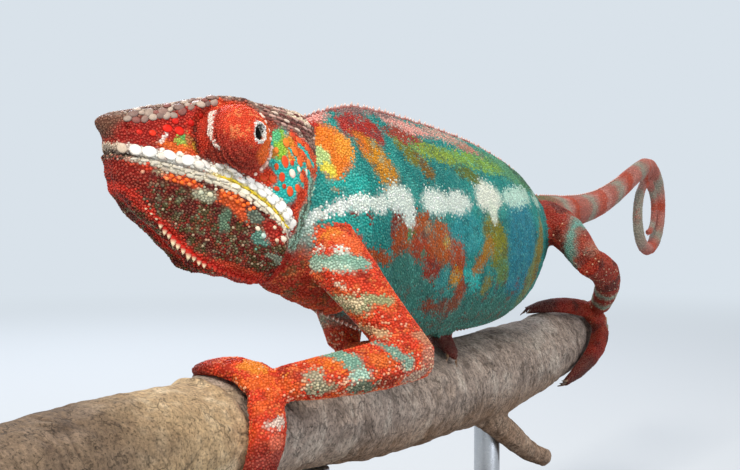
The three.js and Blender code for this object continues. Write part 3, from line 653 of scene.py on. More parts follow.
def paint_body(points, regions):
    """Neck and trunk."""
    along = points[:, 1] + 1.1 * lumps(points, 3.6, 1) + 0.4 * lumps(points, 1.3, 2)
    up = points[:, 2] + 0.8 * lumps(points, 3.2, 4) + 0.3 * lumps(points, 1.3, 5)
    colours = np.tile(linear(TEAL), (len(points), 1))
    colours = lay(colours, 0.6 * step_between(-0.1, 0.7, lumps(points, 6, 8)), DEEP_TEAL)
    colours = lay(colours, 0.5 * step_between(0.1, 0.8, lumps(points, 4, 9)), "#48B0A4")
    colours = lay_ovals(colours, along, up, FLANK_OVALS, 1.0)
    trunk = (regions == "trunk").astype(float)
    low_flank = step_between(106, 100, points[:, 2])
    colours = lay_all(colours, [
        (0.8 * trunk * step_between(97, 89, points[:, 2]), "#4C7868"),
        (0.7 * trunk * low_flank * speckle(points, 2.0, 17, 0.14), "#7C3E34"),
        (0.45 * trunk * speckle(points, 1.5, 16, 0.22), "#0E4C50"),
        (0.35 * trunk * speckle(points, 1.2, 18, 0.16), "#6CCABA"),
    ])
    chest = trunk * step_between(-42, -50, points[:, 1]) * step_between(101, 96, points[:, 2])
    colours = lay(colours, chest, "#7A4034")
    throat = step_between(113, 107, up + 0.25 * (points[:, 1] + 60)) * (regions == "neck")
    colours = lay_all(colours, [
        (throat, "#B83420"),
        (0.7 * throat * speckle(points, 1.6, 12, 0.35), "#5E5A34"),
        (throat * step_between(101, 98, up + 0.25 * (points[:, 1] + 60)), "#DC4A20"),
        (0.6 * throat * speckle(points, 1.1, 13, 0.25), "#E0703C"),
    ])
    along = points[:, 1] + 0.8 * lumps(points, 3.0, 6)
    up = points[:, 2] + 0.45 * lumps(points, 2.4, 7)
    return lay_ovals(colours, along, up, STRIPE_OVALS, 1.0)


def paint_tail(points):
    round_coil = np.degrees(np.arctan2(points[:, 1] - 182, points[:, 2] - 120))
    straight = points[:, 1] < 176
    length = np.where(straight, points[:, 1], 182 + (round_coil % 360) * 0.3)
    length = length + 2.2 * lumps(points, 5, 14)
    colours = np.tile(linear("#B4675A"), (len(points), 1))
    colours = lay_all(colours, [
        (step_between(-0.2, 0.6, lumps(points, 5, 15)), "#C48478"),
        (0.8 * bump_at(length % 26, 13, 4), "#98A494"),
        (0.8 * bump_at(length % 26, 24, 3.4), "#BC4424"),
        (step_between(118, 114.6, points[:, 2]) * step_between(118, 100, length), RED),
        (step_between(94, 80, points[:, 1]) * step_between(122, 127, points[:, 2]), MOSS),
    ])
    return colours


def paint_legs(points, regions, parts):
    """Fiery legs with pale green bands, going dark towards the toe tips."""
    wild = lumps(points, 2.6, 21)
    colours = np.tile(linear("#DA3A1A"), (len(points), 1))
    colours = lay_all(colours, [
        (0.7 * step_between(0.1, 0.8, wild), "#E8641E"),
        (0.8 * step_between(0.25, 0.8, lumps(points, 3.4, 22)), "#A82412"),
        (0.5 * speckle(points, 1.3, 27, 0.16), "#7A1C0E"),
        (0.55 * speckle(points, 0.9, 23, 0.25), "#F08444"),
    ])
    hind = np.array(["hind" in part for part in parts]).astype(float)
    inner = np.array(["inner" in part for part in parts])
    # Painted shade: the hind legs are darkened all over, with maroon blotches, as if in shade.
    colours = lay(colours, 0.8 * hind, "#80180E")
    colours = lay(colours, 0.8 * hind * speckle(points, 4.2, 26, 0.22), MAROON)
    for name in ("front_left", "front_right", "hind_left", "hind_right"):
        foot = np.array(sum(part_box("foot_" + name), Vector())) / 2 / MM
        here = np.array([part.endswith(name) for part in parts])
        length = np.linalg.norm(points - foot, axis=1) + 1.4 * wild
        shin = here & (regions == "lower")
        thigh = here & (regions == "upper")
        out = np.abs(points[:, 0]) + 1.2 * wild
        if name != "front_left":
            colours = lay_all(colours, [
                (0.8 * shin * bump_at(length, 12, 1.9), "#88AE9A"),
                (0.8 * shin * bump_at(length, 21, 1.9), "#88AE9A"),
                (0.85 * thigh * bump_at(out, 19, 2.2), "#5FA89C"),
                (0.3 * thigh * bump_at(out, 26, 1.6), "#D0B098"),
            ])
        toes = here & (regions == "toes")
        dark = np.where(inner & (name == "front_left"), length + 5, length)
        colours = lay(colours, toes * step_between(13, 18, dark), BLOOD)
        colours = lay(colours, toes * step_between(18, 23, dark), MAROON)
    along = points[:, 1] + 0.6 * lumps(points, 2.4, 24)
    up = points[:, 2] + 0.5 * lumps(points, 2.4, 25)
    arm = np.array([part.endswith("front_left") and "inner" not in part for part in parts]).astype(float)
    return lay_ovals(colours, along, up, ARM_OVALS, arm * 0.92)


def paint_roof(colours, points, back, up):
    """The snout's top and the crown, with the pale streak on the helmet."""
    roof = step_between(-0.5, 0.5, up - np.interp(back, RIDGE_BACKS, RIDGE_UPS))
    return lay_all(colours, [
        (roof, "#86685C"),
        (roof * speckle(points, 1.7, 36, 0.3), "#5E322C"),
        (roof * 0.8 * speckle(points, 1.3, 37, 0.2), "#B8A494"),
        (roof * oval_cover(back, up, (42, 22.8), (6, 1.5), 14), "#E0CCB0"),
        (roof * oval_cover(back, up, (39.5, 19.8), (7, 1.3), 10), "#5C342E"),
    ])


def paint_jaw(colours, points, back, up, jaw):
    """Dark red, partly the jaw's own colour and partly painted shade, finely mottled with olive, and clusters
    of brighter grains under the lip.
    """
    # painted shade: the jaw's dark red is partly its own colour and partly the shade under the head
    colours = lay(colours, jaw, "#5E1009")
    middle = jaw * step_between(6, 13, back) * step_between(-2.5, -5, up)
    colours = lay_all(colours, [
        (0.8 * middle * speckle(points, 0.95, 38, 0.44), "#4A4A24"),
        (0.5 * jaw * speckle(points, 0.85, 39, 0.3), "#A01E10"),
        (0.5 * middle * speckle(points, 0.8, 43, 0.18), "#8A9474"),
    ])
    colours = lay_ovals(colours, back, up, JAW_OVALS, 0.9 * jaw)
    from_spines = np.abs(up - np.interp(back, GULAR_BACKS, GULAR_UPS))
    return lay(colours, 0.9 * jaw * step_between(1.3, 0.6, from_spines), "#C42414")


def paint_lips(colours, head, points, back):
    """White upper lip, yellow rim, cream lower lip, its front half greyed as painted shade, and a painted
    shadow in the mouth's front gap.
    """
    side = np.abs(head[:, 0])
    above = head[:, 2] - mouth_line(head[:, 1]) + 0.2 * lumps(points, 1.6, 40)
    top = np.interp(back, [1, 5, 12, 18, 22, 28, 34, 38, 41, 43, 44.6],
                    [2.0, 2.2, 2.2, 2.4, 2.5, 2.3, 2.7, 3.1, 3.4, 2.8, 0.6])
    low = np.interp(back, [1, 5, 10, 20, 30, 36, 43], [0.7, 1.1, 1.4, 2.0, 1.9, 1.7, 1.3])
    on_side = np.maximum(step_between(0.3, 1.4, side), step_between(5, 3, back))
    on_side = on_side * step_between(45, 43.6, back)
    upper = on_side * step_between(top + 0.25, top - 0.25, above) * step_between(-0.1, 0.15, above)
    lower = on_side * step_between(-low - 0.25, -low + 0.25, above) * step_between(0.05, -0.15, above)
    colours = lay_all(colours, [
        (upper * step_between(3, 6, back), "#ECE9DF"),
        (upper * step_between(6, 3, back), "#D2BCA6"),
        (0.45 * upper * speckle(points, 1.2, 44, 0.2), "#C9B8A8"),
        (lower, "#EFE6CC"),
        # painted shade: the lower lip's front half is greyed
        (lower * 0.6 * step_between(26, 18, back), "#A9A294"),
        (lower * step_between(9, 4, back), "#A8705E"),
    ])
    # Painted shadow: the gap between the lips at the front of the mouth is painted near black.
    gap = on_side * step_between(7.5, 5.5, back) * step_between(0.55, 0.35, np.abs(above + 0.05))
    colours = lay(colours, gap, "#2A0D0A")
    yellow = on_side * step_between(20, 25, back) * step_between(42.5, 40, back)
    return lay(colours, yellow * bump_at(above, 0.2, 0.5), "#EED43A")


def paint_turret(colours, head, points):
    angle, far, reach, from_fold, ring = turret_places(head)
    on = step_between(TURRET_RADIUS + 1.0, TURRET_RADIUS + 0.6, far)
    ring_edge = EYE_OPENING + LID_RING
    rise = head[:, 2] - TURRET_SEAT[2] + 0.5 * lumps(points, 1.8, 41)
    rear = head[:, 1] - TURRET_SEAT[1]
    colours = lay_all(colours, [
        (on, "#DC3E1A"),
        (on * 0.75 * speckle(points, 0.8, 42, 0.3), "#F28A50"),
        (on * 0.9 * step_between(-0.2, -2.6, rise + 0.1 * rear), "#961A10"),
        (on * 0.8 * step_between(-3.4, -5.6, rise), "#70120D"),
    ])
    shine = bump_at(np.cos(np.radians(angle) * RIPPLES), 1, 0.8)
    colours = lay_all(colours, [
        (on * 0.7 * step_between(-1, -3, rise) * shine, "#C4402C"),
        (on * step_between(2.6, 4.2, rear) * step_between(-3.6, -2.4, rise), "#EE6A20"),
        (on * step_between(-4.6, -6, rear) * step_between(6, 3, rise), "#C8321A"),
        (on * step_between(0.15, -0.15, from_fold), "#F4E0D4"),
        # painted shade in the groove beside the pale fold
        (on * bump_at(from_fold, 0.6, 0.25), "#7C1A12"),
        (on * step_between(ring_edge + 0.15, ring_edge - 0.1, ring), "#F6F1EA"),
        # painted shadow inside the eye's opening, over its walls
        (on * step_between(EYE_OPENING + 0.4, EYE_OPENING + 0.15, reach), "#1A0B09"),
    ])
    lower_front = step_between(72, 84, angle) * step_between(1.5, -1.5, rise) * step_between(6, 3, rear)
    # painted shade in the groove round the turret's foot, at its lower front
    colours = lay(colours, 0.9 * lower_front * bump_at(far, TURRET_RADIUS + 1.0, 0.6), "#4C100C")
    return lay(colours, 0.8 * lower_front * bump_at(far, TURRET_RADIUS + 2.5, 0.6), "#CC2A14")


def paint_head(points, regions):
    head = to_head(points)
    back = head[:, 1] + 0.4 * lumps(points, 2.2, 31) + 0.18 * lumps(points, 0.9, 32)
    up = head[:, 2] + 0.35 * lumps(points, 2.2, 33) + 0.18 * lumps(points, 0.9, 34)
    colours = np.tile(linear("#A61A0C"), (len(points), 1))
    colours = lay(colours, 0.6 * speckle(points, 1.6, 35, 0.3), BLOOD)
    colours = lay_ovals(colours, back, up, HEAD_OVALS, 1.0)
    for streak in CHEEK_STREAKS:
        near = near_path(np.column_stack([back, up]), streak, [0, 0])
        colours = lay(colours, step_between(0.75, 0.4, near), "#25BDB2")
    colours = paint_roof(colours, points, back, up)
    colours = paint_jaw(colours, points, back, up, (regions == "jaw").astype(float))
    behind = step_between(44.4, 45.4, back) * step_between(11, 8, up) * step_between(-8, -6, up)
    colours = lay(colours, behind, "#9CC4AE")
    # painted shade: dark lines between the pale folds behind the jaw
    colours = lay(colours, behind * bump_at((back + 0.3 * up) % 1.9, 0.95, 0.36), "#4A5244")
    colours = paint_turret(colours, head, points)
    return paint_lips(colours, head, points, back)


def markings(points, parts):
    """The colour of the body at each point, in linear numbers, some layers of it painted shade or highlight.
    Points are in millimetres.
    """
    regions = regions_of(parts)
    colours = np.zeros((len(points), 3))
    painters = [
        (("neck", "trunk"), lambda p, r, n: paint_body(p, r)),
        (("tail",), lambda p, r, n: paint_tail(p)),
        (("upper", "lower", "foot", "toes"), paint_legs),
        (("head", "jaw", "turret"), lambda p, r, n: paint_head(p, r)),
    ]
    for kinds, painter in painters:
        here = np.isin(regions, kinds)
        if here.any():
            colours[here] = painter(points[here], regions[here], parts[here])
    return np.clip(colours, 0, 1)


# %% Paint on the skin
# Painted shade: the skin between the scales is painted darker than the scales, as if in their shade.
SKIN_PAINTED_SHADE = 0.62      # the skin between the scales is darker than they are


def put_colours(mesh, colours):
    """Stores a colour for each vertex under the name that the materials read."""
    layer = mesh.color_attributes.new("markings", "FLOAT_COLOR", "POINT")
    layer.data.foreach_set("color", np.column_stack([colours, np.ones(len(colours))]).ravel())


skin_parts = owners(places_of(skin.data))
skin_colours = markings(places_of(skin.data) / MM, skin_parts)
put_colours(skin.data, skin_colours * SKIN_PAINTED_SHADE)
print("skin painted:", len(skin_colours), "vertices")

# %% [markdown]
# ## Scales
# A chameleon's scales are grains that lie side by side and never overlap. One grain is modelled:
# a six-sided disc, pulled up, narrowed, and closed by a low point. Thousands of copies
# are then set on the skin, each with its own size, and joined into a few pieces. Their places come from
# dart throwing: a random place is kept only if it is far enough from every place kept before.
# Large scales, such as the lip shields and the ovals on the cheek, are placed first.


# %% The grain, the shield and the spine
def shape_from(thing):
    """A modelled shape as plain arrays: its points and its faces."""
    points = places_of(thing.data)
    faces = [list(face.vertices) for face in thing.data.polygons]
    bpy.data.objects.remove(thing)
    return points, faces


def dome(sides, steps, tip):
    """A closed dome one unit across the radius: steps are (height added, narrowing) in turn."""
    bpy.ops.mesh.primitive_circle_add(vertices=sides, radius=1, fill_type="NGON")
    thing = bpy.context.object
    bpy.ops.object.mode_set(mode="EDIT")
    bpy.ops.mesh.select_all(action="SELECT")
    for rise, narrow in steps:
        bpy.ops.mesh.extrude_region_move(TRANSFORM_OT_translate={"value": (0, 0, rise)})
        bpy.ops.transform.resize(value=(narrow, narrow, 1))
    bpy.ops.mesh.poke(offset=tip)
    bpy.ops.mesh.select_all(action="SELECT")
    bpy.ops.mesh.normals_make_consistent(inside=False)
    bpy.ops.object.mode_set(mode="OBJECT")
    return shape_from(thing)


GRAIN = dome(6, [(0.52, 0.80)], 0.36)
SHIELD = dome(12, [(0.5, 0.94), (0.3, 0.74)], 0.16)
SPINE = dome(8, [(0.3, 0.8), (0.36, 0.55)], 0.34)
bpy.ops.mesh.primitive_cone_add(vertices=6, radius1=1, radius2=0, depth=0.8, end_fill_type="NGON",
                                location=(0, 0, 0.4))
bpy.ops.object.transform_apply()
LOW_GRAIN = shape_from(bpy.context.object)
print("faces of the shapes:", [len(shape[1]) for shape in (GRAIN, LOW_GRAIN, SHIELD, SPINE)])

# %% The skin as arrays: its triangles, its unwrap, and a quick way to find its nearest place
pick(skin)
edit_all(bpy.ops.uv.smart_project, angle_limit=math.radians(66), island_margin=0.002)
skin.data.uv_layers.active.name = "OFBake"

skin.data.calc_loop_triangles()
tri_vertices = read(skin.data.loop_triangles, "vertices", 3, np.int64)
tri_loops = read(skin.data.loop_triangles, "loops", 3, np.int64)
loop_uvs = read(skin.data.uv_layers["OFBake"].data, "uv", 2)
skin_points = places_of(skin.data) / MM
skin_normals = normals_of(skin.data)
skin_tree = BVHTree.FromPolygons([Vector(p) for p in skin_points], tri_vertices.tolist())


def shares_in(points, faces):
    """Each point's shares of its triangle's three corners."""
    a, b, c = (skin_points[tri_vertices[faces, k]] for k in range(3))
    ab, ac, ap = b - a, c - a, points - a
    d00, d01, d11 = (ab * ab).sum(1), (ab * ac).sum(1), (ac * ac).sum(1)
    d20, d21 = (ap * ab).sum(1), (ap * ac).sum(1)
    flat = np.maximum(d00 * d11 - d01 * d01, 1e-12)
    v = (d11 * d20 - d01 * d21) / flat
    w = (d00 * d21 - d01 * d20) / flat
    shares = np.clip(np.column_stack([1 - v - w, v, w]), 0, 1)
    return shares / shares.sum(1)[:, None]


def settle(points):
    """The nearest places on the skin, and the triangles that they are in."""
    found = [skin_tree.find_nearest(Vector(p)) for p in points]
    return np.array([f[0] for f in found]), np.array([f[2] for f in found])


# %% Large scales, set one by one
LARGE = []      # each is (shape, place, outward, along, half sizes, root paint, tip paint)


def set_large(shape, place, outward, along, size, paint=None, tip=None):
    LARGE.append((shape, np.array(place), np.array(outward), np.array(along), size, paint, tip))


def cast(origin, direction):
    """Where a ray in world millimetres meets the skin, and the skin's outward direction there."""
    place, outward, _, _ = skin_tree.ray_cast(Vector(origin), Vector(direction))
    return place, outward


def cast_on_head(side, back, up):
    """The skin at this height of the head, seen straight from the side."""
    return cast(from_head([side * 30, back, up]), HEAD_TURN @ [-side, 0, 0])


def head_direction(side, tilt):
    turn = math.radians(tilt)
    return HEAD_TURN @ [0, math.cos(turn), math.sin(turn)]


def head_scale(shape, back, up, size, tilt=0, paint=None, tip=None):
    """The same large scale on both sides of the head."""
    for side in (1, -1):
        place, outward = cast_on_head(side, back, up)
        if place is not None:
            set_large(shape, place, outward, head_direction(side, tilt), size, paint, tip)


def lip_row(above, start, end, length, half_height, rise, paint):
    """A row of shields along the mouth line, from start to end. above, length and half_height are
    each two lists: places by back, and the values there."""
    back = start
    while back < end:
        half = np.interp(back, *length)
        high = np.interp(back, *half_height)
        middle = back + half
        slope = math.degrees(math.atan((mouth_line(middle + 1) - mouth_line(middle - 1)) / 2))
        up = mouth_line(middle) + np.interp(middle, *above)
        head_scale(SHIELD, middle, up, (half * 1.04, high, rise), slope, paint)
        back += 2 * half


# The big pale shields at the front: back, above the mouth line, half length, half height, tilt, paint
UPPER_LIP = [
    (0.6, 1.2, 0.8, 0.7, 0, "#8C7464"), (2.2, 1.1, 1.0, 0.85, 6, "#B09A84"),
    (4.2, 1.2, 1.15, 0.95, 0, "#CDBBA6"), (6.4, 1.25, 1.3, 1.05, -6, "#EAE4DA"),
    (9.0, 1.35, 1.5, 1.1, 12, "#F3F0E8"), (11.5, 1.0, 0.9, 0.7, 0, "#DDD3C6"),
    (13.0, 1.6, 1.35, 1.05, -14, "#F4F2EC"), (15.2, 1.0, 0.9, 0.7, 10, "#E0D8CC"),
    (16.8, 1.5, 1.4, 1.1, 18, "#F3F1EA"), (19.2, 1.15, 1.1, 0.85, 0, "#E8E2D6"),
    (20.8, 1.7, 1.3, 0.95, -8, "#F4F2EA"), (11.3, 2.35, 0.55, 0.4, 30, "#E6D9CC"),
    (14.9, 2.5, 0.6, 0.42, 20, "#EADFD4"), (18.6, 2.6, 0.7, 0.45, 10, "#EDE4DA"),
]
for back, above, half, high, tilt, paint in UPPER_LIP:
    head_scale(SHIELD, back, mouth_line(back) + above, (half * 1.08, high * 1.08, 0.32), tilt, paint)
FROM_20, FROM_5 = [20, 44], [5, 20, 44]
LIP_WHITE, LIP_GREY_PAINTED_SHADE, LIP_CREAM = "#F6F3EA", "#C4BDAE", "#F0E7CE"
# The rows: places above the line, start and end by back, places of the half lengths and heights, rise
LIP_ROWS = [
    (([0, 44], [1.05, 1.2]), 21.8, 43, FROM_20, [1.5, 1.0], [0.62, 0.72], 0.22, LIP_WHITE),
    (([0, 34, 42, 44], [1.95, 2.2, 2.7, 2]), 22.2, 43, FROM_20, [1.3, 0.95], [0.5, 0.8], 0.22, LIP_WHITE),
    (([0, 44], [0.24, 0.28]), 24.6, 42, FROM_20, [1.2, 0.9], [0.3, 0.32], 0.34, "#ECD03A"),
    # painted shade: the front half of the lower lip is a shaded grey instead of its cream
    (([0, 44], [-0.6, -0.62]), 6, 24, FROM_5, [0.9, 1.3, 1.0], [0.4, 0.6, 0.54], 0.28, LIP_GREY_PAINTED_SHADE),
    (([0, 44], [-0.62, -0.7]), 24, 42.6, FROM_5, [0.8, 1.35, 0.95], [0.42, 0.64, 0.56], 0.28, LIP_CREAM),
    (([0, 44], [-1.55, -1.55]), 12, 36, FROM_5, [0.7, 1.0, 0.9], [0.4, 0.46, 0.44], 0.28, None),
]
for above, start, end, backs, half_lengths, half_heights, rise, paint in LIP_ROWS:
    lip_row(above, start, end, (backs, half_lengths), (backs, half_heights), rise, paint)

# The cheek's: back, up, half length, half width, tilt, paint
CHEEK_OVALS = [
    (37.2, 10.2, 1.5, 0.85, -68, "#E2401A"), (37.4, 6.7, 1.15, 0.75, -80, "#D8381A"),
    (39.6, 8.4, 1.1, 0.8, -60, "#F2D6C6"), (40.0, 4.5, 1.2, 0.8, -70, "#E04A20"),
    (35.4, 5.5, 0.95, 0.7, -40, "#E04A20"), (33.4, 4.9, 0.9, 0.65, -10, "#DA3A18"),
    (36.7, 14.4, 1.2, 0.8, -75, "#EE7A22"), (39.0, 13.3, 1.3, 0.75, -55, "#EC6A20"),
    (40.7, 11.6, 1.25, 0.65, -55, "#E85A1E"), (42.2, 8.4, 1.1, 0.65, -62, "#E2562A"),
    (41.6, 5.8, 1.0, 0.65, -70, "#D8421C"), (34.7, 11.8, 0.8, 0.6, -80, "#E8822A"),
    (43.4, 12.3, 1.2, 0.75, -50, "#EC7A3A"), (36.9, 3.9, 0.75, 0.55, 0, "#D83A1A"),
    (42.6, 15.6, 1.1, 0.8, -20, "#E2481E"), (40.2, 16.4, 1.1, 0.75, -20, "#DE5226"),
    (38.2, 16.9, 0.9, 0.7, -10, "#C93A20"), (11.3, 7.1, 1.1, 0.9, 0, "#E2200F"),
    (13.8, 7.6, 1.2, 1.0, 0, "#DA200F"), (8.7, 5.0, 0.8, 0.7, 0, "#E2331A"),
    (15.4, 10.0, 0.8, 0.7, 0, "#C81A10"), (6.2, 4.2, 0.7, 0.6, 0, "#CC281A"),
    (12.4, 9.2, 0.8, 0.7, 0, "#D02012"), (17.2, 12.6, 0.8, 0.6, 30, "#C8281A"),
    (42.7, -5.3, 0.95, 0.75, -10, "#F0E4CC"), (37.8, -6.4, 0.7, 0.6, 0, "#BFD8CC"),
    (36.0, -5.5, 0.65, 0.55, 0, "#EDE2C6"), (39.6, -3.9, 0.5, 0.45, 0, "#EFD8B8"),
    (38.9, 10.6, 0.7, 0.5, -70, "#D03016"), (38.4, 5.0, 0.6, 0.5, -70, "#C82C16"),
    (41.2, 13.6, 0.8, 0.5, -55, "#D8401C"), (35.6, 8.4, 0.8, 0.55, -75, "#DC4A1C"),
    (40.9, 9.9, 0.8, 0.45, -60, "#CFE8DC"), (43.2, 10.2, 0.9, 0.45, -62, "#D8E4D4"),
    (41.2, -6.2, 0.5, 0.45, 0, "#E8C8A8"), (23.6, -2.6, 0.7, 0.55, 0, "#D8D4B4"),
    (21.6, -2.9, 0.6, 0.5, 0, "#C8CCB0"), (15.4, 2.9, 0.5, 0.45, 0, "#E8DCC8"),
]
for back, up, long_half, wide_half, tilt, paint in CHEEK_OVALS:
    rim = "#EE8444" if back > 32 and up > 3 and not paint.startswith("#F") else paint
    head_scale(SHIELD, back, up, (long_half, wide_half, 0.42), tilt, rim, paint)
for step in range(26):      # two rows of orange grains under the lower lip
    back = 14 + 0.78 * step
    up = mouth_line(back) - (2.55 if step % 2 else 3.3)
    if not 20 < back < 25:
        head_scale(SHIELD, back, up, (0.5, 0.44, 0.55), 0, "#EE6A24" if step % 3 else "#F08A50")

# %% Knobs on the head's ridges, and long scales on the crown
KNOB_PAINTS = ["#9A887C", "#AC988A", "#7C645C", "#B5A292", "#8C7066", "#84524A"]
for row in range(4):         # the ridge from the snout to above the eye
    for step in range(12):
        back = 3.4 + 1.42 * step + 0.6 * (row % 2)
        up = np.interp(back, RIDGE_BACKS, RIDGE_UPS) - 0.75 + 1.15 * row
        size = (0.76 if row < 2 else 0.62) + 0.2 * math.sin(3.1 * step + 2 * row)
        back, up = back + 0.25 * math.sin(7 * step + row), up + 0.22 * math.sin(5 * step + 3 * row)
        head_scale(SHIELD, back, up, (size * 1.3, size, 0.46), 36 + 30 * math.sin(4 * step),
                   KNOB_PAINTS[(5 * step + 2 * row) % 6])
STREAK_PAINTS = ["#E0C8B4", "#8C5A50", "#B08478", "#6E3A34", "#C8A294"]
for row in range(5):         # the crown, from the eye to the helmet's peak
    for step in range(8):
        back = 29.6 + 2.0 * step + 0.7 * (row % 3)
        up = 17.6 + 0.24 * (back - 29.6) * (0.5 + 0.14 * row) + 0.85 * row
        head_scale(SHIELD, back, up, (1.05, 0.36, 0.4), 10 + 2 * row, STREAK_PAINTS[(3 * step + row) % 5])
ARC_RADIUS = 8.5      # mm from the turret's middle
for step in range(11):       # the arc of pale grains behind the eye
    turn = math.radians(-66 + 12.5 * step)
    back = TURRET_SEAT[1] + ARC_RADIUS * math.cos(turn)
    up = TURRET_SEAT[2] + ARC_RADIUS * math.sin(turn)
    head_scale(SHIELD, back, up, (0.5, 0.4, 0.45), math.degrees(turn) + 90, "#EBC9B8")


# %% Crests of cones down the back, the throat and the belly
def crest(stations, ray_from, toward, cone, lean, paint, tip):
    """Cones at these stations. ray_from gives a place outside the body, toward the way to the skin,
    and cone the half length, half width and height there."""
    for station in stations:
        way = np.array(toward, float)
        place, outward = cast(ray_from(station), way)
        if place is not None:
            set_large(SPINE, place, (1 - lean) * -way + lean * np.array([0, 1, 0]), (0, 1, 0),
                      cone(station), paint, tip)


def between(stations, values):
    return lambda at: float(np.interp(at, stations, values))


spine_side = between([-84, -70, -58, -40, -15, 40], [-3, 1.6, 2.6, 1.4, 0.2, 0])
spine_height = between([-80, -60, -40, 0, 50, 80], [1.1, 1.7, 1.9, 1.7, 1.4, 0.9])
crest(np.arange(-78, 80, 1.7), lambda y: (spine_side(y), y, 200), (0, 0, -1),
      lambda y: (0.76, 0.6, spine_height(y) * (0.86 + 0.25 * math.sin(y * 2.1))), 0.22, "#985E58", "#D2B8AE")
crest(np.arange(81, 150, 1.8), lambda y: (np.interp(y, [84, 104, 128, 148], [0.4, 1.6, 4, 6]), y, 200),
      (0, 0, -1), lambda y: (0.62, 0.5, 0.8), 0.2, "#A0685C", "#D8B4A6")
belly_tall = between([-64, -40, -20, 60], [1.5, 1.4, 1.0, 0.7])
crest(np.arange(-64, 62, 2.3), lambda y: (spine_side(y), y, 40), (0, 0, 1),
      lambda y: (0.8, 0.6, belly_tall(y)), 0.3, "#9C5A48", "#E6CDBC")
gular_tall = between([12, 15.5, 17.5, 21, 26, 29, 32, 45], [0.2, 0.5, 1.8, 2.3, 2.0, 1.4, 1.0, 0.7])
for step in range(24):       # the head is turned a little, so that the row shows on its left
    back = 13 + 1.3 * step
    place, outward = cast_on_head(1, back, float(np.interp(back, GULAR_BACKS, GULAR_UPS)))
    if place is not None:
        tall = gular_tall(back)
        way = np.array(outward) + HEAD_TURN @ [0, 0.45, -1.3]
        tall *= 0.9 + 0.16 * math.sin(2.3 * step)
        size = (0.5 + 0.24 * tall, 0.34 + 0.08 * tall)
        tip = "#E6D2AC" if back < 29 else "#C8432C"
        set_large(SPINE, place, way, HEAD_TURN[:, 1], (*size, 0.25 + tall), "#B01C10", tip)
print("large scales:", len(LARGE))

# %% Where the grains go
GRAIN_GAPS = {"head": 0.42, "jaw": 0.42, "turret": 0.33, "neck": 0.48, "trunk": 0.54, "tail": 0.54,
              "upper": 0.44, "lower": 0.44, "foot": 0.42, "toes": 0.44}      # mm
CROWN_GAP, LIP_SIDE_GAP, LID_GAP = 0.6, 0.5, 0.25      # mm, where the grains are larger or smaller
DARTS = 2.0      # thrown for each that can stay


def grain_gap(points, regions):
    """How far apart the grains lie at each place, in millimetres."""
    gap = np.array([GRAIN_GAPS[region] for region in regions])
    head = to_head(points)
    back, up = head[:, 1], head[:, 2]
    crown = (regions == "head") * step_between(-0.6, 0.6, up - np.interp(back, RIDGE_BACKS, RIDGE_UPS))
    gap += crown * (CROWN_GAP - gap)
    above = up - mouth_line(back)
    big = (regions == "jaw") * step_between(-5.4, -4.2, above) * step_between(4, 9, back)
    gap += big * (LIP_SIDE_GAP - gap)
    far, reach = turret_places(head)[1:3]
    lid = (far < TURRET_RADIUS + 1.5) * step_between(EYE_OPENING + 1.2, EYE_OPENING + 0.8, reach)
    return gap + lid * (LID_GAP - gap)


def bare(points, regions):
    """Places with no grain: inside the eye's opening and in the mouth line."""
    head = to_head(points)
    far, reach = turret_places(head)[1:3]
    in_eye = (far < TURRET_RADIUS + 2) & (reach < EYE_OPENING + 0.1)
    above = np.abs(head[:, 2] - mouth_line(head[:, 1]))
    in_mouth = np.isin(regions, ["head", "jaw"]) & (above < 0.22) & (head[:, 1] < 44.6)
    return in_eye | in_mouth


def throw_darts(points, gaps, cell=0.6):
    """Keeps each place that is far enough from all the places kept before it."""
    filled, kept = {}, []
    for number, ((x, y, z), gap) in enumerate(zip(points.tolist(), gaps.tolist())):
        rows, columns, floors = (
            range(int((v - gap) // cell), int((v + gap) // cell) + 1) for v in (x, y, z))
        around = (spot for i in rows for j in columns for k in floors
                  for spot in filled.get((i, j, k), ()))
        if any((a - x) ** 2 + (b - y) ** 2 + (c - z) ** 2 < (gap + other) * (gap + other) / 4
               for a, b, c, other in around):
            continue
        filled.setdefault((int(x // cell), int(y // cell), int(z // cell)), []).append((x, y, z, gap))
        kept.append(number)
    return np.array(kept)


skin_regions = regions_of(skin_parts)
edge_a = skin_points[tri_vertices[:, 1]] - skin_points[tri_vertices[:, 0]]
edge_b = skin_points[tri_vertices[:, 2]] - skin_points[tri_vertices[:, 0]]
areas = np.linalg.norm(np.cross(edge_a, edge_b), axis=1) / 2
middles = skin_points[tri_vertices].mean(axis=1)
tri_gaps = grain_gap(middles, skin_regions[tri_vertices[:, 0]])
wanted = areas / tri_gaps ** 2 * DARTS
faces = np.repeat(np.arange(len(tri_vertices)), chance.poisson(wanted))
chance.shuffle(faces)
u, v = chance.random((2, len(faces)))
flip = u + v > 1
u[flip], v[flip] = 1 - u[flip], 1 - v[flip]
darts = (skin_points[tri_vertices[faces, 0]] + edge_a[faces] * u[:, None] + edge_b[faces] * v[:, None])
dart_regions = skin_regions[tri_vertices[faces, 0]]
free = ~bare(darts, dart_regions)
large_tree = KDTree(len(LARGE))
for number, large in enumerate(LARGE):
    large_tree.insert(Vector(large[1]), number)
large_tree.balance()
near_large = np.array([large_tree.find(Vector(p))[1:] for p in darts])
large_half = np.array([min(large[4][0], large[4][1] * 1.3) for large in LARGE])
free &= near_large[:, 1] > large_half[near_large[:, 0].astype(int)] * 0.9
darts, faces, dart_regions = darts[free], faces[free], dart_regions[free]
gaps = grain_gap(darts, dart_regions)
kept = throw_darts(darts, gaps)
roots, root_faces, gaps = darts[kept], faces[kept], gaps[kept]
print("skin area:", round(float(areas.sum())), "darts:", len(darts), "grains:", len(roots))

# %% Evening the grains out
EVEN_ROUNDS = 3
NEIGHBOURS = 6


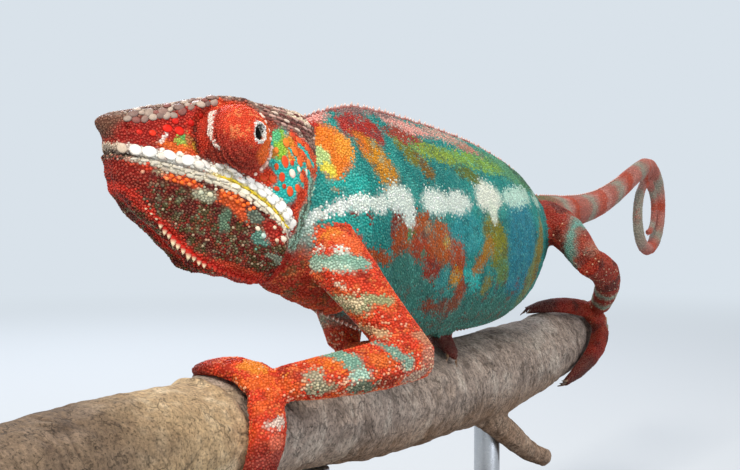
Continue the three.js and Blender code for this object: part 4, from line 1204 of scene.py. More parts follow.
def neighbours_of(points):
    """The distances and the places of each point's nearest neighbours."""
    tree = KDTree(len(points))
    for number, point in enumerate(points):
        tree.insert(point, number)
    tree.balance()
    found = [tree.find_n(point, NEIGHBOURS + 1)[1:] for point in points]
    return (np.array([[f[2] for f in row] for row in found]),
            np.array([[f[1] for f in row] for row in found]))


for _ in range(EVEN_ROUNDS):
    distances, numbers = neighbours_of(roots)
    away = roots[:, None, :] - roots[numbers]
    push = np.clip(1.12 * gaps[:, None] - distances, 0, None) / np.maximum(distances, 1e-3)
    roots = roots + 0.28 * (away * push[:, :, None]).sum(axis=1)
    roots, root_faces = settle(roots)
distances, numbers = neighbours_of(roots)
grain_radius = np.clip(0.53 * distances[:, :5].mean(axis=1), 0.42 * gaps, 0.72 * gaps)
print("grain radius:", round(float(grain_radius.mean()), 3), "mm on average")

# %% Copies of a shape, joined into one mesh
PATCH = 0.003      # each scale's patch on the skin's unwrap
SCALE_SUNK = 0.12  # the share of a scale's height that lies under the skin


def unit(vectors):
    return vectors / np.maximum(np.linalg.norm(vectors, axis=1), 1e-9)[:, None]


def joined_copies(title, shape, places, outward, along, sizes, roots_paint, tips_paint, uvs, blend=(0, 1)):
    """One mesh of many copies. sizes are half length, half width and height, in millimetres, and
    blend says between which shares of the height one paint goes over to the other."""
    points, faces = shape
    count, corners_each = len(places), sum(len(face) for face in faces)
    outward = unit(outward)
    along = unit(along - (along * outward).sum(1)[:, None] * outward)
    across = np.cross(outward, along)
    x, y, z = (points[:, k][None, :, None] for k in range(3))
    z = z - SCALE_SUNK
    spots = (places[:, None, :] + x * (along * sizes[:, :1])[:, None, :]
             + y * (across * sizes[:, 1:2])[:, None, :] + z * (outward * sizes[:, 2:])[:, None, :])
    flat = np.concatenate([np.array(face) for face in faces])
    starts = np.cumsum([0] + [len(face) for face in faces[:-1]])
    step = np.arange(count)[:, None]
    mesh = bpy.data.meshes.new(title)
    mesh.vertices.add(count * len(points))
    mesh.loops.add(count * corners_each)
    mesh.polygons.add(count * len(faces))
    mesh.vertices.foreach_set("co", (spots * MM).ravel())
    mesh.loops.foreach_set("vertex_index", (flat[None, :] + step * len(points)).ravel())
    mesh.polygons.foreach_set("loop_start", (starts[None, :] + step * corners_each).ravel())
    mesh.polygons.foreach_set("use_smooth", np.ones(count * len(faces), bool))
    mesh.update(calc_edges=True)
    layer = mesh.uv_layers.new(name="OFBake")
    local = points[flat][:, :2] / max(1.0, np.abs(points[:, :2]).max()) * PATCH / 2
    layer.data.foreach_set("uv", (uvs[:, None, :] + local[None]).ravel())
    top = step_between(*blend, points[:, 2] / points[:, 2].max())[None, :, None]
    colours = roots_paint[:, None, :] * (1 - top) + tips_paint[:, None, :] * top
    put_colours(mesh, colours.reshape(-1, 3))
    piece = bpy.data.objects.new(title, mesh)
    scene.collection.objects.link(piece)
    return piece


def uvs_at(points):
    """Where places on the skin lie in its unwrap."""
    places, faces = settle(points)
    return (loop_uvs[tri_loops[faces]] * shares_in(places, faces)[:, :, None]).sum(1)


# %% Grains, piece by piece
MOST_GRAINS = 9000          # a piece stays under 200,000 triangles
MOST_LOW_GRAINS = 19500
COAT = []      # the pieces and their slots
BORROW = {"head": 0.2, "jaw": 0.35, "turret": 0.15, "neck": 0.5, "trunk": 0.8, "tail": 0.8,
          "upper": 0.35, "lower": 0.45, "foot": 0.35, "toes": 0.35}      # mm

parts = owners(roots * MM)
regions = regions_of(parts)
root_shares = shares_in(roots, root_faces)
outward = unit((skin_normals[tri_vertices[root_faces]] * root_shares[:, :, None]).sum(1))
uvs = (loop_uvs[tri_loops[root_faces]] * root_shares[:, :, None]).sum(1)
# A scale takes its colour from a place close by, so that colours mingle where they meet.
borrow = np.array([BORROW[region] for region in regions])[:, None]
colours = markings(roots + borrow * chance.standard_normal((len(roots), 3)), parts)
tone = 1 + 0.11 * chance.standard_normal(len(roots))[:, None]
colours = np.clip(colours * tone, 0.002, 1)
# Painted highlight: every grain's tip is lightened a little towards pale cream. The pale knobs get much paler
# tips, which are their own colour.
HIGHLIGHT_AND_KNOB_PALE = np.array(linear("#F4E0B8"))
highlight_and_knob_share = 0.015 + 0.05 * chance.random(len(roots))
KNOBBLY = {"upper": 0.05, "lower": 0.14, "foot": 0.1, "jaw": 0.016}      # the share of pale knobs
often = np.array([KNOBBLY.get(region, 0) * (0.3 if "hind" in part else 1)
                  for region, part in zip(regions, parts)])
under = step_between(0.5, -0.2, outward[:, 2]) * step_between(0.6, -0.3, outward[:, 1])
knobbly = chance.random(len(roots)) < often * np.where(regions == "jaw", 1, 0.2 + 1.6 * under)
highlight_and_knob_share = np.where(knobbly, 0.5, highlight_and_knob_share)[:, None]
tips = colours + highlight_and_knob_share * (HIGHLIGHT_AND_KNOB_PALE - colours)
along = np.tile(np.array([0.12, 1.0, 0.0]), (len(roots), 1)) + 0.25 * chance.standard_normal((len(roots), 3))
outward = outward + 0.06 * chance.standard_normal((len(roots), 3))
swell = np.where(knobbly, 1.15, 1.0) * (1 + 0.07 * chance.standard_normal(len(roots)))
flat = np.array([0.95 if region in ("upper", "lower", "jaw") else 0.75 for region in regions])
sizes = np.column_stack([grain_radius * 1.12, grain_radius * 1.04, grain_radius * flat]) * swell[:, None]

left = roots[:, 0] > np.array([spine_side(y) for y in roots[:, 1]])
front = np.array(["front" in part for part in parts])
limb = np.isin(regions, ["upper", "lower"])
foot = np.isin(regions, ["foot", "toes"])
GROUPS = [
    ("scales_head", regions == "head", GRAIN, "skin_red"),
    ("scales_jaw", regions == "jaw", GRAIN, "skin_red"),
    ("scales_turrets", regions == "turret", GRAIN, "skin_red"),
    ("scales_neck", regions == "neck", GRAIN, "skin_teal"),
    ("scales_trunk_left", (regions == "trunk") & left, LOW_GRAIN, "skin_teal"),
    ("scales_trunk_right", (regions == "trunk") & ~left, LOW_GRAIN, "skin_teal"),
    ("scales_front_legs", limb & front, GRAIN, "skin_red"),
    ("scales_hind_legs", limb & ~front, GRAIN, "skin_red"),
    ("scales_front_feet", foot & front, GRAIN, "skin_red"),
    ("scales_hind_feet", foot & ~front, GRAIN, "skin_red"),
    ("scales_tail", regions == "tail", LOW_GRAIN, "skin_rose"),
]
for name, here, shape, slot in GROUPS:
    chosen = np.flatnonzero(here)
    chosen = chosen[np.argsort(roots[chosen, 1])]
    most = MOST_GRAINS if shape is GRAIN else MOST_LOW_GRAINS
    lots = np.array_split(chosen, math.ceil(len(chosen) / most))
    for number, lot in enumerate(lots):
        title = name if len(lots) == 1 else f"{name}_{number + 1}"
        # Painted shade and highlight: each grain's root is painted at 0.7 of its colour, and its tip at the
        # lightened colour.
        piece = joined_copies(title, shape, roots[lot], outward[lot], along[lot], sizes[lot],
                              colours[lot] * 0.7, tips[lot], uvs[lot])
        COAT.append((piece, slot))
        print(title, len(lot), "grains")

# %% The large scales, in the same way
for title, shape, slot in (("large_scales", SHIELD, "skin_red"), ("crest_spines", SPINE, "skin_rose")):
    rows = [large for large in LARGE if large[0] is shape]
    places = np.array([row[1] for row in rows])
    ground = markings(places, owners(places * MM))
    paints = np.array([linear(row[5]) if row[5] else ground[k] for k, row in enumerate(rows)])
    tips_paint = np.array([linear(row[6]) if row[6] else paints[k] * 1.04 for k, row in enumerate(rows)])
    # Painted shade at the shields' roots, 0.78 of their paint. Where no tip paint is given, their tips get a
    # faint painted highlight, 1.04.
    shade = 1.0 if shape is SPINE else 0.78
    piece = joined_copies(title, shape, places, np.array([row[2] for row in rows]),
                          np.array([row[3] for row in rows]), np.array([row[4] for row in rows]),
                          paints * shade, np.clip(tips_paint, 0, 1), uvs_at(places),
                          (0.3, 0.68) if shape is SPINE else (0.3, 0.98))
    COAT.append((piece, slot))

# %% The finish of skin and scales
# Scales are keratin, like a fingernail: a clear, slightly waxy sheen over the colour, and fine
# ridges too small to see one by one. The skin between them is drier and finely wrinkled.


def reptile_material(name, grain_mm, rough, bump_mm, shine):
    """Colour from the markings, with fine mottling, uneven roughness and a bump of grain_mm."""
    material, tree, output = new_material(name)
    paint = add_node(tree, "ShaderNodeAttribute", {"attribute_name": "markings"})
    where = add_node(tree, "ShaderNodeTexCoord")
    mottle = add_node(tree, "ShaderNodeTexNoise", inputs={
        "Vector": where.outputs["Object"], "Scale": 1 / (grain_mm * 3 * MM), "Detail": 3.0})
    light = add_node(tree, "ShaderNodeMapRange", inputs={
        "Value": mottle.outputs["Fac"], "From Min": 0.3, "From Max": 0.7, "To Min": 0.86, "To Max": 1.12})
    mixed = add_node(tree, "ShaderNodeVectorMath", {"operation": "MULTIPLY"},
                     {0: paint.outputs["Color"], 1: light.outputs["Result"]})
    fine = add_node(tree, "ShaderNodeTexNoise", inputs={
        "Vector": where.outputs["Object"], "Scale": 1 / (grain_mm * MM), "Detail": 2.0})
    rough_part = add_node(tree, "ShaderNodeMapRange", inputs={
        "Value": fine.outputs["Fac"], "From Min": 0.3, "From Max": 0.7,
        "To Min": rough - 0.08, "To Max": rough + 0.1})
    bump = add_node(tree, "ShaderNodeBump", inputs={
        "Strength": 0.5, "Distance": bump_mm * MM, "Height": fine.outputs["Fac"]})
    shader = add_node(tree, "ShaderNodeBsdfPrincipled", inputs={
        "Base Color": mixed.outputs["Vector"], "Roughness": rough_part.outputs["Result"],
        "Normal": bump.outputs["Normal"], "IOR": 1.52, "Specular IOR Level": shine})
    tree.links.new(shader.outputs["BSDF"], output.inputs["Surface"])
    return material


SKIN_FINISH = reptile_material("bare reptile skin", 0.3, 0.66, 0.12, 0.18)
SCALE_FINISH = reptile_material("waxy keratin scales", 0.25, 0.46, 0.03, 0.18)
skin.data.materials.append(SKIN_FINISH)
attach(skin, "root")
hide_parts(*FLESH)
for piece, slot in COAT:
    piece.data.materials.append(SCALE_FINISH)
    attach(piece, "root")
total = sum(sum(len(face.vertices) - 2 for face in piece.data.polygons) for piece, _ in COAT)
print("coat:", len(COAT), "pieces,", total, "triangles")

# %% [markdown]
# ## Eyes
# The eyeball hardly shows: a chameleon looks out through a small gap in the middle of its turret.
# A ball is set behind that gap with its pole on the eye's aim, so that the rims of pupil and iris
# run along its rings of faces. It is wet, so it is smooth and mirrors the lamps.

# %% Eyeballs behind the lids
EYE_RADIUS = 2.7        # mm
EYE_DEPTH = 0.75        # mm, from the turret's surface to the front of the eye
PUPIL, IRIS = 1.45, 1.9       # mm, half widths


def polar_ball(title, middle_mm, radius_mm, direction, segments=48, rings=40):
    """A ball whose pole points along a direction."""
    turn = Vector(direction).to_track_quat("Z", "Y").to_euler()
    pick(camera)
    bpy.ops.mesh.primitive_uv_sphere_add(segments=segments, ring_count=rings, radius=radius_mm * MM,
                                         location=Vector(middle_mm) * MM, rotation=turn)
    ball = bpy.context.object
    ball.name = ball.data.name = title
    bpy.ops.object.transform_apply(location=True, rotation=True, scale=True)
    bpy.ops.object.shade_smooth()
    return ball


def store(mesh, name, values):
    """Keeps a number for each vertex under a name that a material reads."""
    layer = mesh.attributes.new(name, "FLOAT", "POINT")
    layer.data.foreach_set("value", np.asarray(values, float))


material, tree, EYE_OUT = new_material("wet eye")
rim = add_node(tree, "ShaderNodeAttribute", {"attribute_name": "from_pupil"})
where = add_node(tree, "ShaderNodeTexCoord")
fibres = add_node(tree, "ShaderNodeTexNoise", inputs={
    "Vector": where.outputs["Object"], "Scale": 1 / (0.35 * MM), "Detail": 3.0})
wobble = add_node(tree, "ShaderNodeMath", {"operation": "MULTIPLY_ADD"},
                  {0: fibres.outputs["Fac"], 1: 0.12, 2: rim.outputs["Fac"]})
ramp = add_node(tree, "ShaderNodeValToRGB", inputs={"Fac": wobble.outputs[0]})
ramp.color_ramp.elements[0].position = PUPIL / 2 + 0.02
ramp.color_ramp.elements[0].color = rgba("#050404")
ramp.color_ramp.elements[1].position = PUPIL / 2 + 0.06
ramp.color_ramp.elements[1].color = rgba("#3A1C10")
outer = ramp.color_ramp.elements.new(IRIS / 2)
outer.color = rgba("#2A130C")
halved = add_node(tree, "ShaderNodeMath", {"operation": "MULTIPLY"}, {0: wobble.outputs[0], 1: 0.5})
tree.links.new(halved.outputs[0], ramp.inputs["Fac"])
shader = add_node(tree, "ShaderNodeBsdfPrincipled", inputs={
    "Base Color": ramp.outputs["Color"], "Roughness": 0.06, "IOR": 1.14})
tree.links.new(shader.outputs["BSDF"], EYE_OUT.inputs["Surface"])

for side, name in ((1, "left"), (-1, "right")):
    aim = TURRET_AIM * [side, 1, 1]
    middle = from_head(TURRET_SEAT * [side, 1, 1] + aim * (TURRET_RADIUS - EYE_DEPTH - EYE_RADIUS))
    eyeball = polar_ball("eyeball_" + name, middle, EYE_RADIUS, HEAD_TURN @ aim)
    away = places_of(eyeball.data) / MM - middle
    ahead = away @ (HEAD_TURN @ aim)
    across = np.linalg.norm(away - ahead[:, None] * (HEAD_TURN @ aim), axis=1)
    store(eyeball.data, "from_pupil", np.where(ahead > 0, across, EYE_RADIUS))
    eyeball.data.materials.append(material)
    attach(eyeball, "root")
    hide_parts("eye_" + name)
print("eyes:", EYE_RADIUS, "mm balls,", EYE_DEPTH, "mm behind the lids")

# %% [markdown]
# ## Claws
# Each toe ends in a short curved claw of dark horn. The CAD horns have the right size and bend but
# square sides. Subdivision rounds their copies. Then each root is drawn into the skin of its toe while
# the tip stays, because the skin is smoother and so a little thinner than the CAD toe.
# All twenty become one piece.

# %% Rounded claws
CLAWS = [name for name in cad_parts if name.startswith("claw_")]
ROOT_DEEPER = 1.1 * MM
ROOT_SUNK = 0.5              # mm that the middle of a root lies under the skin
copies = [copy_of(name, "horn_" + name) for name in CLAWS]
for horn in copies:          # rounding draws a root in, so each root first goes deeper into its toe
    co = places_of(horn.data)
    from_middle = co - co.mean(axis=0)
    to_tip = unit(from_middle[np.argmax(np.linalg.norm(from_middle, axis=1))][None])[0]
    behind = np.clip(-(from_middle @ to_tip) / MM, 0, 1)
    put_places(horn.data, co - np.outer(behind, to_tip) * ROOT_DEEPER)
    rounding = horn.modifiers.new("round", "SUBSURF")
    rounding.levels = rounding.render_levels = 2
    finish_modifiers(horn)
    co = places_of(horn.data) / MM
    share = (co - co.mean(axis=0)) @ to_tip
    share = (share - share.min()) / np.ptp(share)      # 0 at the root, 1 at the tip
    root = co[share < 0.2].mean(axis=0)
    place, way = skin_tree.find_nearest(Vector(root))[:2]
    outside = (Vector(root) - place).dot(way)
    sink = max(0.0, outside + ROOT_SUNK)
    put_places(horn.data, (co - np.outer(1 - share, way) * sink) * MM)
pick(*copies)
bpy.ops.object.join()
claws = bpy.context.object
claws.name = claws.data.name = "claws"
bpy.ops.object.shade_smooth()
material, tree, output = new_material("polished horn")
where = add_node(tree, "ShaderNodeTexCoord")
streaks = add_node(tree, "ShaderNodeTexNoise", inputs={
    "Vector": where.outputs["Object"], "Scale": 1 / (0.9 * MM), "Detail": 4.0})
ramp = add_node(tree, "ShaderNodeValToRGB", inputs={"Fac": streaks.outputs["Fac"]})
ramp.color_ramp.elements[0].position = 0.35
ramp.color_ramp.elements[0].color = rgba("#3A261C")
ramp.color_ramp.elements[1].position = 0.7
ramp.color_ramp.elements[1].color = rgba("#8A6A4C")
bump = add_node(tree, "ShaderNodeBump", inputs={
    "Strength": 0.3, "Distance": 0.05 * MM, "Height": streaks.outputs["Fac"]})
shader = add_node(tree, "ShaderNodeBsdfPrincipled", inputs={
    "Base Color": ramp.outputs["Color"], "Roughness": 0.32, "IOR": 1.54, "Normal": bump.outputs["Normal"]})
tree.links.new(shader.outputs["BSDF"], output.inputs["Surface"])
claws.data.materials.append(material)
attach(claws, "root")
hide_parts(*CLAWS)
print("claws:", len(CLAWS), "in one piece of", len(claws.data.polygons), "faces")

# %% [markdown]
# ## The branch
# A dry branch has young straw-coloured bark with a few cracks at one end, and old grey bark,
# wrinkled round the branch, at the other. It is made like the skin: the CAD branch and its twig are
# melted into one mesh and smoothed. The bark's relief then moves each point outwards or inwards by
# a formula in millimetres along the branch and round it. The same formula darkens the cracks.

# %% The branch melted and smoothed
BARK_VOXEL = 0.62 * MM
BARK_ROUNDS = 40      # of smoothing
PERCH_ENDS = (-172, 135)
PERCH_ALONG = [-172, -85, -35, 5, 40, 80, 135]
PERCH_HEIGHT = [75.6, 75.9, 71.4, 70.8, 71, 73.2, 76.5]
PERCH_SIDE = [0, 0, 0, 0, 0, -0.2, -3]
AROUND = 82.0         # mm round the bark
KNOTS = [(-148, 71, 6.5), (-66, 78, 5), (-14, 4, 4.5), (62, 76, 4)]      # along, round, size, in mm
GRIPS = [(-97, 24, 1.3), (84, 21, 1.1)]      # swellings under the left toes: along, round, height, in mm
BARK_UNDER = 0.5      # mm that the bark lies under the CAD branch, before its relief

branch = copy_of("perch_branch", "perch_bark")
melt(branch, BARK_VOXEL)
co = places_of(branch.data) / MM
at_end = (co[:, 1] < PERCH_ENDS[0] + 1.2) | (co[:, 1] > PERCH_ENDS[1] - 1.2)
co = smoothed(co, edges_of(branch.data), np.where(at_end, 0.0, 1.0), BARK_ROUNDS)
print("branch:", len(branch.data.polygons), "faces")


# %% The bark's relief
def scatter(a, b, seed):
    """A number from 0 to 1 for each pair of whole numbers."""
    knot = (a * 73856093) ^ (b * 19349663) ^ (seed * 83492791)
    return ((knot * 2654435761 >> 9) & 0xFFFF) / 65535


def plates(around, along, wide, long, seed):
    """How far each place lies from the nearest crack, in shares of a plate, and its plate's own
    number from 0 to 1."""
    count = round(AROUND / wide)
    a, b = around / AROUND * count, along / long
    first, second, which = np.full(len(a), 9.0), np.full(len(a), 9.0), np.zeros(len(a))
    for da in (-1, 0, 1):
        for db in (-1, 0, 1):
            ia, ib = np.floor(a).astype(np.int64) + da, np.floor(b).astype(np.int64) + db
            key = ia % count
            gap = np.hypot(ia + scatter(key, ib, seed) - a, ib + scatter(key, ib, seed + 1) - b)
            closer = gap < first
            second = np.where(closer, first, np.minimum(second, gap))
            which = np.where(closer, scatter(key, ib, seed + 2), which)
            first = np.where(closer, gap, first)
    return second - first, which


def bark_relief(points):
    """The bark's height in millimetres, and from 0 to 1: how deep in a crack each point lies, its
    tone, how young the bark is, and where the young bark is folded and painted in shade."""
    x = points[:, 0] - np.interp(points[:, 1], PERCH_ALONG, PERCH_SIDE)
    z = points[:, 2] - np.interp(points[:, 1], PERCH_ALONG, PERCH_HEIGHT)
    around = (np.arctan2(z, x) / (2 * math.pi) % 1) * AROUND
    along = points[:, 1] + 1.6 * lumps(points, 5, 61) + 0.5 * lumps(points, 1.6, 62)
    turned = around + 1.5 * lumps(points, 6, 63) + 0.4 * lumps(points, 1.8, 64)
    pale = step_between(-99, -107, points[:, 1] + 3 * lumps(points, 4, 65))
    plate, plate_tone = plates(turned, along, 13, 16, 1)
    wrinkle, wrinkle_tone = plates(turned, along, 11, 3.4, 9)
    crack_front = step_between(0.08, 0.02, plate) * step_between(0.1, 0.5, lumps(points, 8, 66))
    crack_back = 0.9 * step_between(0.2, 0.02, wrinkle) * step_between(-0.1, 0.35, lumps(points, 7, 74))
    shadowed = pale * step_between(-120, -142, points[:, 1] + 5 * lumps(points, 6, 76))
    fold, fold_tone = plates(turned + 3 * lumps(points, 7, 77), along + 2 * lumps(points, 3, 78),
                             16, 4.2, 21)
    crack_fold = 0.8 * step_between(0.22, 0.0, fold) * step_between(-0.2, 0.4, lumps(points, 6, 79))
    crack = pale * np.maximum(crack_front, shadowed * crack_fold) + (1 - pale) * crack_back
    height = 0.5 * lumps(points, 11, 67) + 0.22 * lumps(points, 4, 68) + 0.1 * lumps(points, 1.3, 69)
    height += 0.14 * (plate_tone - 0.5) * pale + 0.1 * (wrinkle_tone - 0.5) * (1 - pale)
    height += 0.3 * (fold_tone - 0.5) * shadowed
    height -= 0.45 * crack
    for knot_along, knot_around, size in KNOTS:
        off = np.abs((around - knot_around + AROUND / 2) % AROUND - AROUND / 2)
        away = np.hypot(points[:, 1] - knot_along, off) / size
        height += 0.6 * bump_at(away, 0.8, 0.35) - 0.9 * bump_at(away, 0, 0.45)
        crack = np.maximum(crack, 0.6 * bump_at(away, 0, 0.42) + 0.2 * bump_at(away, 1.25, 0.16))
    for grip_along, grip_around, rise in GRIPS:
        away = np.hypot((points[:, 1] - grip_along) / 8, (around - grip_around) / 9)
        height += rise * bump_at(away, 0, 0.8)
    height += 0.6 * bump_at(points[:, 1], -104.5, 1.2) - 0.5 * bump_at(points[:, 1], -101.5, 1.0)
    tone = 0.5 + 0.24 * (1 - pale) * (wrinkle_tone - 0.5) + 0.1 * (plate_tone - 0.5)
    tone += 0.2 * lumps(points, 7, 70) + 0.12 * lumps(points, 1.5, 75)
    return height, np.clip(crack, 0, 1), np.clip(tone, 0, 1), pale, shadowed


TWIG_TIP = np.array([11, 59, 41.5])       # mm, where the twig broke off
TWIG_WAY = np.array([1, 10, -4.1]) / np.linalg.norm([1, 10, -4.1])
height, crack, tone, pale, shadowed = bark_relief(co)
put_places(branch.data, co * MM)
out = normals_of(branch.data)
past = (co - TWIG_TIP) @ TWIG_WAY
torn = step_between(-0.9, 0.2, past) * (np.linalg.norm(co - TWIG_TIP, axis=1) < 7)
sawn = ((co[:, 1] < PERCH_ENDS[0] + 0.35) | (co[:, 1] > PERCH_ENDS[1] - 0.35)) & (np.abs(out[:, 1]) > 0.7)
co = co + out * (height * ~sawn * (1 - torn) - BARK_UNDER * ~sawn)[:, None]
splinters = 1.4 * lumps(co * [2.2, 1, 2.2], 2.0, 71) + 0.6 * lumps(co, 0.7, 72) - 0.6
co = co + TWIG_WAY * (torn * splinters)[:, None]
put_places(branch.data, co * MM)

colours = np.tile(linear("#A08F82"), (len(co), 1))          # old grey bark
colours = lay_all(colours, [
    (step_between(0.5, 0.75, tone), "#B6A89A"),
    (step_between(0.5, 0.25, tone), "#74655A"),
    (0.5 * step_between(72, 62, co[:, 2]), "#9A7450"),      # warmer underneath
    (pale, "#BCA07A"),      # young bark, the colour of straw
    (pale * step_between(0.5, 0.75, tone), "#E2CCA8"),
    (pale * step_between(0.5, 0.25, tone), "#9C7E5A"),
    # Painted shade: the young bark's far end is painted dark brown, as if in shade, over its real folds.
    (0.9 * shadowed, "#74604E"),
    (shadowed * step_between(0.5, 0.25, tone), "#524234"),
    (0.6 * shadowed * step_between(0.55, 0.8, tone), "#98806A"),
    (0.8 * crack * (0.75 + 0.25 * pale), "#4E3E32"),
    (np.maximum(torn, sawn), "#CDB084"),      # torn or sawn wood
])
put_colours(branch.data, colours)
pith_x = np.interp(co[:, 1], PERCH_ALONG, PERCH_SIDE)
pith_z = np.interp(co[:, 1], PERCH_ALONG, PERCH_HEIGHT)
store(branch.data, "from_pith", np.hypot(co[:, 0] - pith_x - 1.5, co[:, 2] - pith_z + 1))
store(branch.data, "sawn", sawn.astype(float))
store(branch.data, "young", pale)
print("bark relief from", round(float(height.min()), 2), "to", round(float(height.max()), 2), "mm")

# %% The bark's finish
# Dry bark is rough and quite matt. Grit, hair cracks and the fibres that run round the old bark are
# smaller than the mesh can hold, so they are bump and colour. The sawn ends show rings 0.9 mm apart.
material, tree, output = new_material("dry weathered bark")
paint = add_node(tree, "ShaderNodeAttribute", {"attribute_name": "markings"})
pith = add_node(tree, "ShaderNodeAttribute", {"attribute_name": "from_pith"})
cut_end = add_node(tree, "ShaderNodeAttribute", {"attribute_name": "sawn"})
where = add_node(tree, "ShaderNodeTexCoord")
young = add_node(tree, "ShaderNodeAttribute", {"attribute_name": "young"})
lean = (math.radians(22), 0, 0)
stretch = add_node(tree, "ShaderNodeMapping", inputs={
    "Vector": where.outputs["Object"], "Rotation": lean, "Scale": (0.8, 1, 0.62)})
fibres = add_node(tree, "ShaderNodeTexNoise", inputs={
    "Vector": stretch.outputs["Vector"], "Scale": 1 / (0.9 * MM), "Detail": 6.0, "Roughness": 0.74})
grit = add_node(tree, "ShaderNodeTexNoise", inputs={
    "Vector": where.outputs["Object"], "Scale": 1 / (0.9 * MM), "Detail": 6.0, "Roughness": 0.85})
bend = add_node(tree, "ShaderNodeTexNoise", inputs={
    "Vector": where.outputs["Object"], "Scale": 1 / (5 * MM), "Detail": 4.0})
bent = add_node(tree, "ShaderNodeVectorMath", {"operation": "MULTIPLY_ADD"}, {
    0: bend.outputs["Color"], 1: (9 * MM, 9 * MM, 9 * MM), 2: where.outputs["Object"]})
cells = add_node(tree, "ShaderNodeTexVoronoi", {"feature": "DISTANCE_TO_EDGE"}, {
    "Vector": bent.outputs["Vector"], "Scale": 1 / (7 * MM)})
some = add_node(tree, "ShaderNodeMapRange", inputs={
    "Value": bend.outputs["Fac"], "From Min": 0.44, "From Max": 0.6, "To Min": 0.0, "To Max": 0.06})
wide = add_node(tree, "ShaderNodeMath", {"operation": "ADD"},
                {0: cells.outputs["Distance"], 1: some.outputs["Result"]})
hair = add_node(tree, "ShaderNodeMapRange", inputs={
    "Value": wide.outputs[0], "From Min": 0.004, "From Max": 0.026, "To Min": 0.35, "To Max": 1.0})
whole = add_node(tree, "ShaderNodeMix", inputs={
    0: young.outputs["Fac"], 2: fibres.outputs["Fac"], 3: grit.outputs["Fac"]})
relief = add_node(tree, "ShaderNodeMath", {"operation": "MULTIPLY"},
                  {0: whole.outputs[0], 1: hair.outputs["Result"]})
grain = add_node(tree, "ShaderNodeTexNoise", inputs={
    "Vector": where.outputs["Object"], "Scale": 1 / (0.55 * MM), "Detail": 2.0})
pits = add_node(tree, "ShaderNodeMapRange", inputs={
    "Value": grain.outputs["Fac"], "From Min": 0.55, "From Max": 0.66, "To Min": 1.0, "To Max": 0.5})
rings = add_node(tree, "ShaderNodeMath", {"operation": "MULTIPLY_ADD"},
                 {0: grit.outputs["Fac"], 1: 0.5, 2: pith.outputs["Fac"]})
rings = add_node(tree, "ShaderNodeMath", {"operation": "MULTIPLY"},
                 {0: rings.outputs[0], 1: 2 * math.pi / 0.9})
rings = add_node(tree, "ShaderNodeMath", {"operation": "SINE"}, {0: rings.outputs[0]})
rings = add_node(tree, "ShaderNodeMath", {"operation": "MULTIPLY"},
                 {0: rings.outputs[0], 1: cut_end.outputs["Fac"]})
shading = add_node(tree, "ShaderNodeMapRange", inputs={
    "Value": relief.outputs[0], "From Min": 0.36, "From Max": 0.62, "To Min": 0.45, "To Max": 1.3})
ringed = add_node(tree, "ShaderNodeMath", {"operation": "MULTIPLY_ADD"},
                  {0: rings.outputs[0], 1: 0.16, 2: shading.outputs["Result"]})
pitted = add_node(tree, "ShaderNodeMath", {"operation": "MULTIPLY"},
                  {0: ringed.outputs[0], 1: pits.outputs["Result"]})
mixed = add_node(tree, "ShaderNodeVectorMath", {"operation": "MULTIPLY"},
                 {0: paint.outputs["Color"], 1: pitted.outputs[0]})
rough = add_node(tree, "ShaderNodeMapRange", inputs={
    "Value": grit.outputs["Fac"], "From Min": 0.3, "From Max": 0.7, "To Min": 0.72, "To Max": 0.95})
bump = add_node(tree, "ShaderNodeBump", inputs={
    "Strength": 0.9, "Distance": 0.45 * MM, "Height": relief.outputs[0]})
shader = add_node(tree, "ShaderNodeBsdfPrincipled", inputs={
    "Base Color": mixed.outputs["Vector"], "Roughness": rough.outputs["Result"],
    "Normal": bump.outputs["Normal"], "IOR": 1.5, "Specular IOR Level": 0.25})
tree.links.new(shader.outputs["BSDF"], output.inputs["Surface"])
branch.data.materials.append(material)
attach(branch, "root")
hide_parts("perch_branch")

# %% [markdown]
# ## The stand
# The stand is as plain as a museum's: a dark wooden base with a softly rounded edge, two steel rods
# that end in the branch's underside, and a thin collar where each rod leaves the base.

# %% Base, rods and collars
material, tree, output = new_material("dark stained walnut, satin varnish")
where = add_node(tree, "ShaderNodeTexCoord")
stretch = add_node(tree, "ShaderNodeMapping", inputs={
    "Vector": where.outputs["Object"], "Scale": (1, 0.06, 1)})
grain = add_node(tree, "ShaderNodeTexNoise", inputs={
    "Vector": stretch.outputs["Vector"], "Scale": 1 / (2.2 * MM), "Detail": 6.0, "Distortion": 0.6})
ramp = add_node(tree, "ShaderNodeValToRGB", inputs={"Fac": grain.outputs["Fac"]})
ramp.color_ramp.elements[0].position = 0.35
ramp.color_ramp.elements[0].color = rgba("#241A15")
ramp.color_ramp.elements[1].position = 0.68
ramp.color_ramp.elements[1].color = rgba("#543C2C")
pores = add_node(tree, "ShaderNodeMapRange", inputs={
    "Value": grain.outputs["Fac"], "From Min": 0.3, "From Max": 0.7, "To Min": 0.28, "To Max": 0.42})
bump = add_node(tree, "ShaderNodeBump", inputs={
    "Strength": 0.3, "Distance": 0.08 * MM, "Height": grain.outputs["Fac"]})
shader = add_node(tree, "ShaderNodeBsdfPrincipled", inputs={
    "Base Color": ramp.outputs["Color"], "Roughness": pores.outputs["Result"],
    "Normal": bump.outputs["Normal"], "IOR": 1.5, "Coat Weight": 0.3, "Coat Roughness": 0.2})
tree.links.new(shader.outputs["BSDF"], output.inputs["Surface"])

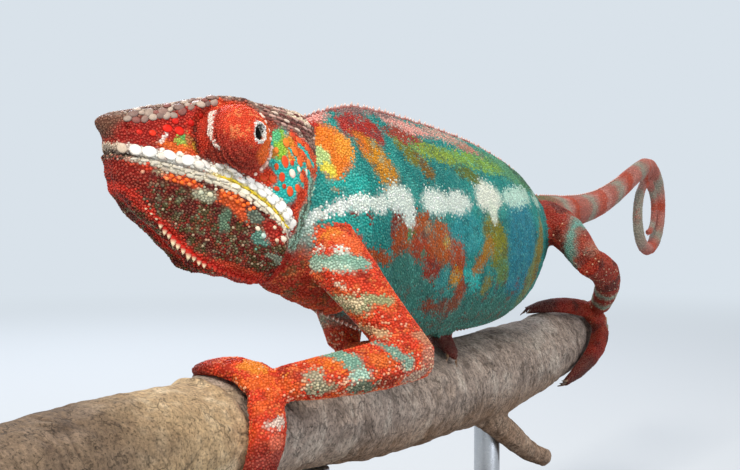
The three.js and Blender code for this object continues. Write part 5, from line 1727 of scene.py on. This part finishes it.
plinth = copy_of("stand_base", "display_base")
edge = plinth.modifiers.new("rounded edge", "BEVEL")
edge.width = 1.6 * MM
edge.segments = 4
edge.limit_method = "ANGLE"
edge.angle_limit = math.radians(50)
finish_modifiers(plinth)
bpy.ops.object.mode_set(mode="EDIT")
bpy.ops.mesh.select_all(action="SELECT")
bpy.ops.mesh.tris_convert_to_quads()
bpy.ops.object.mode_set(mode="OBJECT")
bpy.ops.object.shade_smooth_by_angle(angle=math.radians(35))
plinth.data.materials.append(material)
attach(plinth, "root")
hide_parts("stand_base")

material, tree, output = new_material("brushed stainless steel")
where = add_node(tree, "ShaderNodeTexCoord")
stretch = add_node(tree, "ShaderNodeMapping", inputs={"Vector": where.outputs["Object"], "Scale": (1, 1, 14)})
brushed = add_node(tree, "ShaderNodeTexNoise", inputs={
    "Vector": stretch.outputs["Vector"], "Scale": 1 / (2.0 * MM), "Detail": 3.0})
rough = add_node(tree, "ShaderNodeMapRange", inputs={
    "Value": brushed.outputs["Fac"], "From Min": 0.3, "From Max": 0.7, "To Min": 0.24, "To Max": 0.4})
bump = add_node(tree, "ShaderNodeBump", inputs={
    "Strength": 0.25, "Distance": 0.02 * MM, "Height": brushed.outputs["Fac"]})
shader = add_node(tree, "ShaderNodeBsdfPrincipled", inputs={
    "Base Color": rgba("#B9BCC0"), "Metallic": 1.0, "Roughness": rough.outputs["Result"],
    "Normal": bump.outputs["Normal"]})
tree.links.new(shader.outputs["BSDF"], output.inputs["Surface"])

BASE_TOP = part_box("stand_base")[1][2]
for name in ("stand_rod_front", "stand_rod_back"):
    low, high = (np.array(corner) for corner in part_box(name))
    middle = (low + high) / 2
    half = (high[0] - low[0]) / 2
    profile = [(half, high[2] - BASE_TOP), (half * 1.9, 2.2 * MM)]
    pieces = []
    for radius, tall in profile:
        bpy.ops.mesh.primitive_cylinder_add(vertices=40, radius=radius, depth=tall,
                                            location=(middle[0], middle[1], BASE_TOP + tall / 2))
        pieces.append(bpy.context.object)
        bpy.ops.object.transform_apply(location=True, rotation=True, scale=True)
        rim = pieces[-1].modifiers.new("rim", "BEVEL")
        rim.width = 0.4 * MM
        rim.segments = 3
        finish_modifiers(pieces[-1])
    pick(*pieces)
    bpy.ops.object.join()
    rod = bpy.context.object
    rod.name = rod.data.name = name.replace("stand_rod", "steel_rod")
    bpy.ops.object.shade_smooth_by_angle(angle=math.radians(35))
    rod.data.materials.append(material)
    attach(rod, "root")
    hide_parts(name)
print("stand: base top at", round(BASE_TOP / MM, 1), "mm")
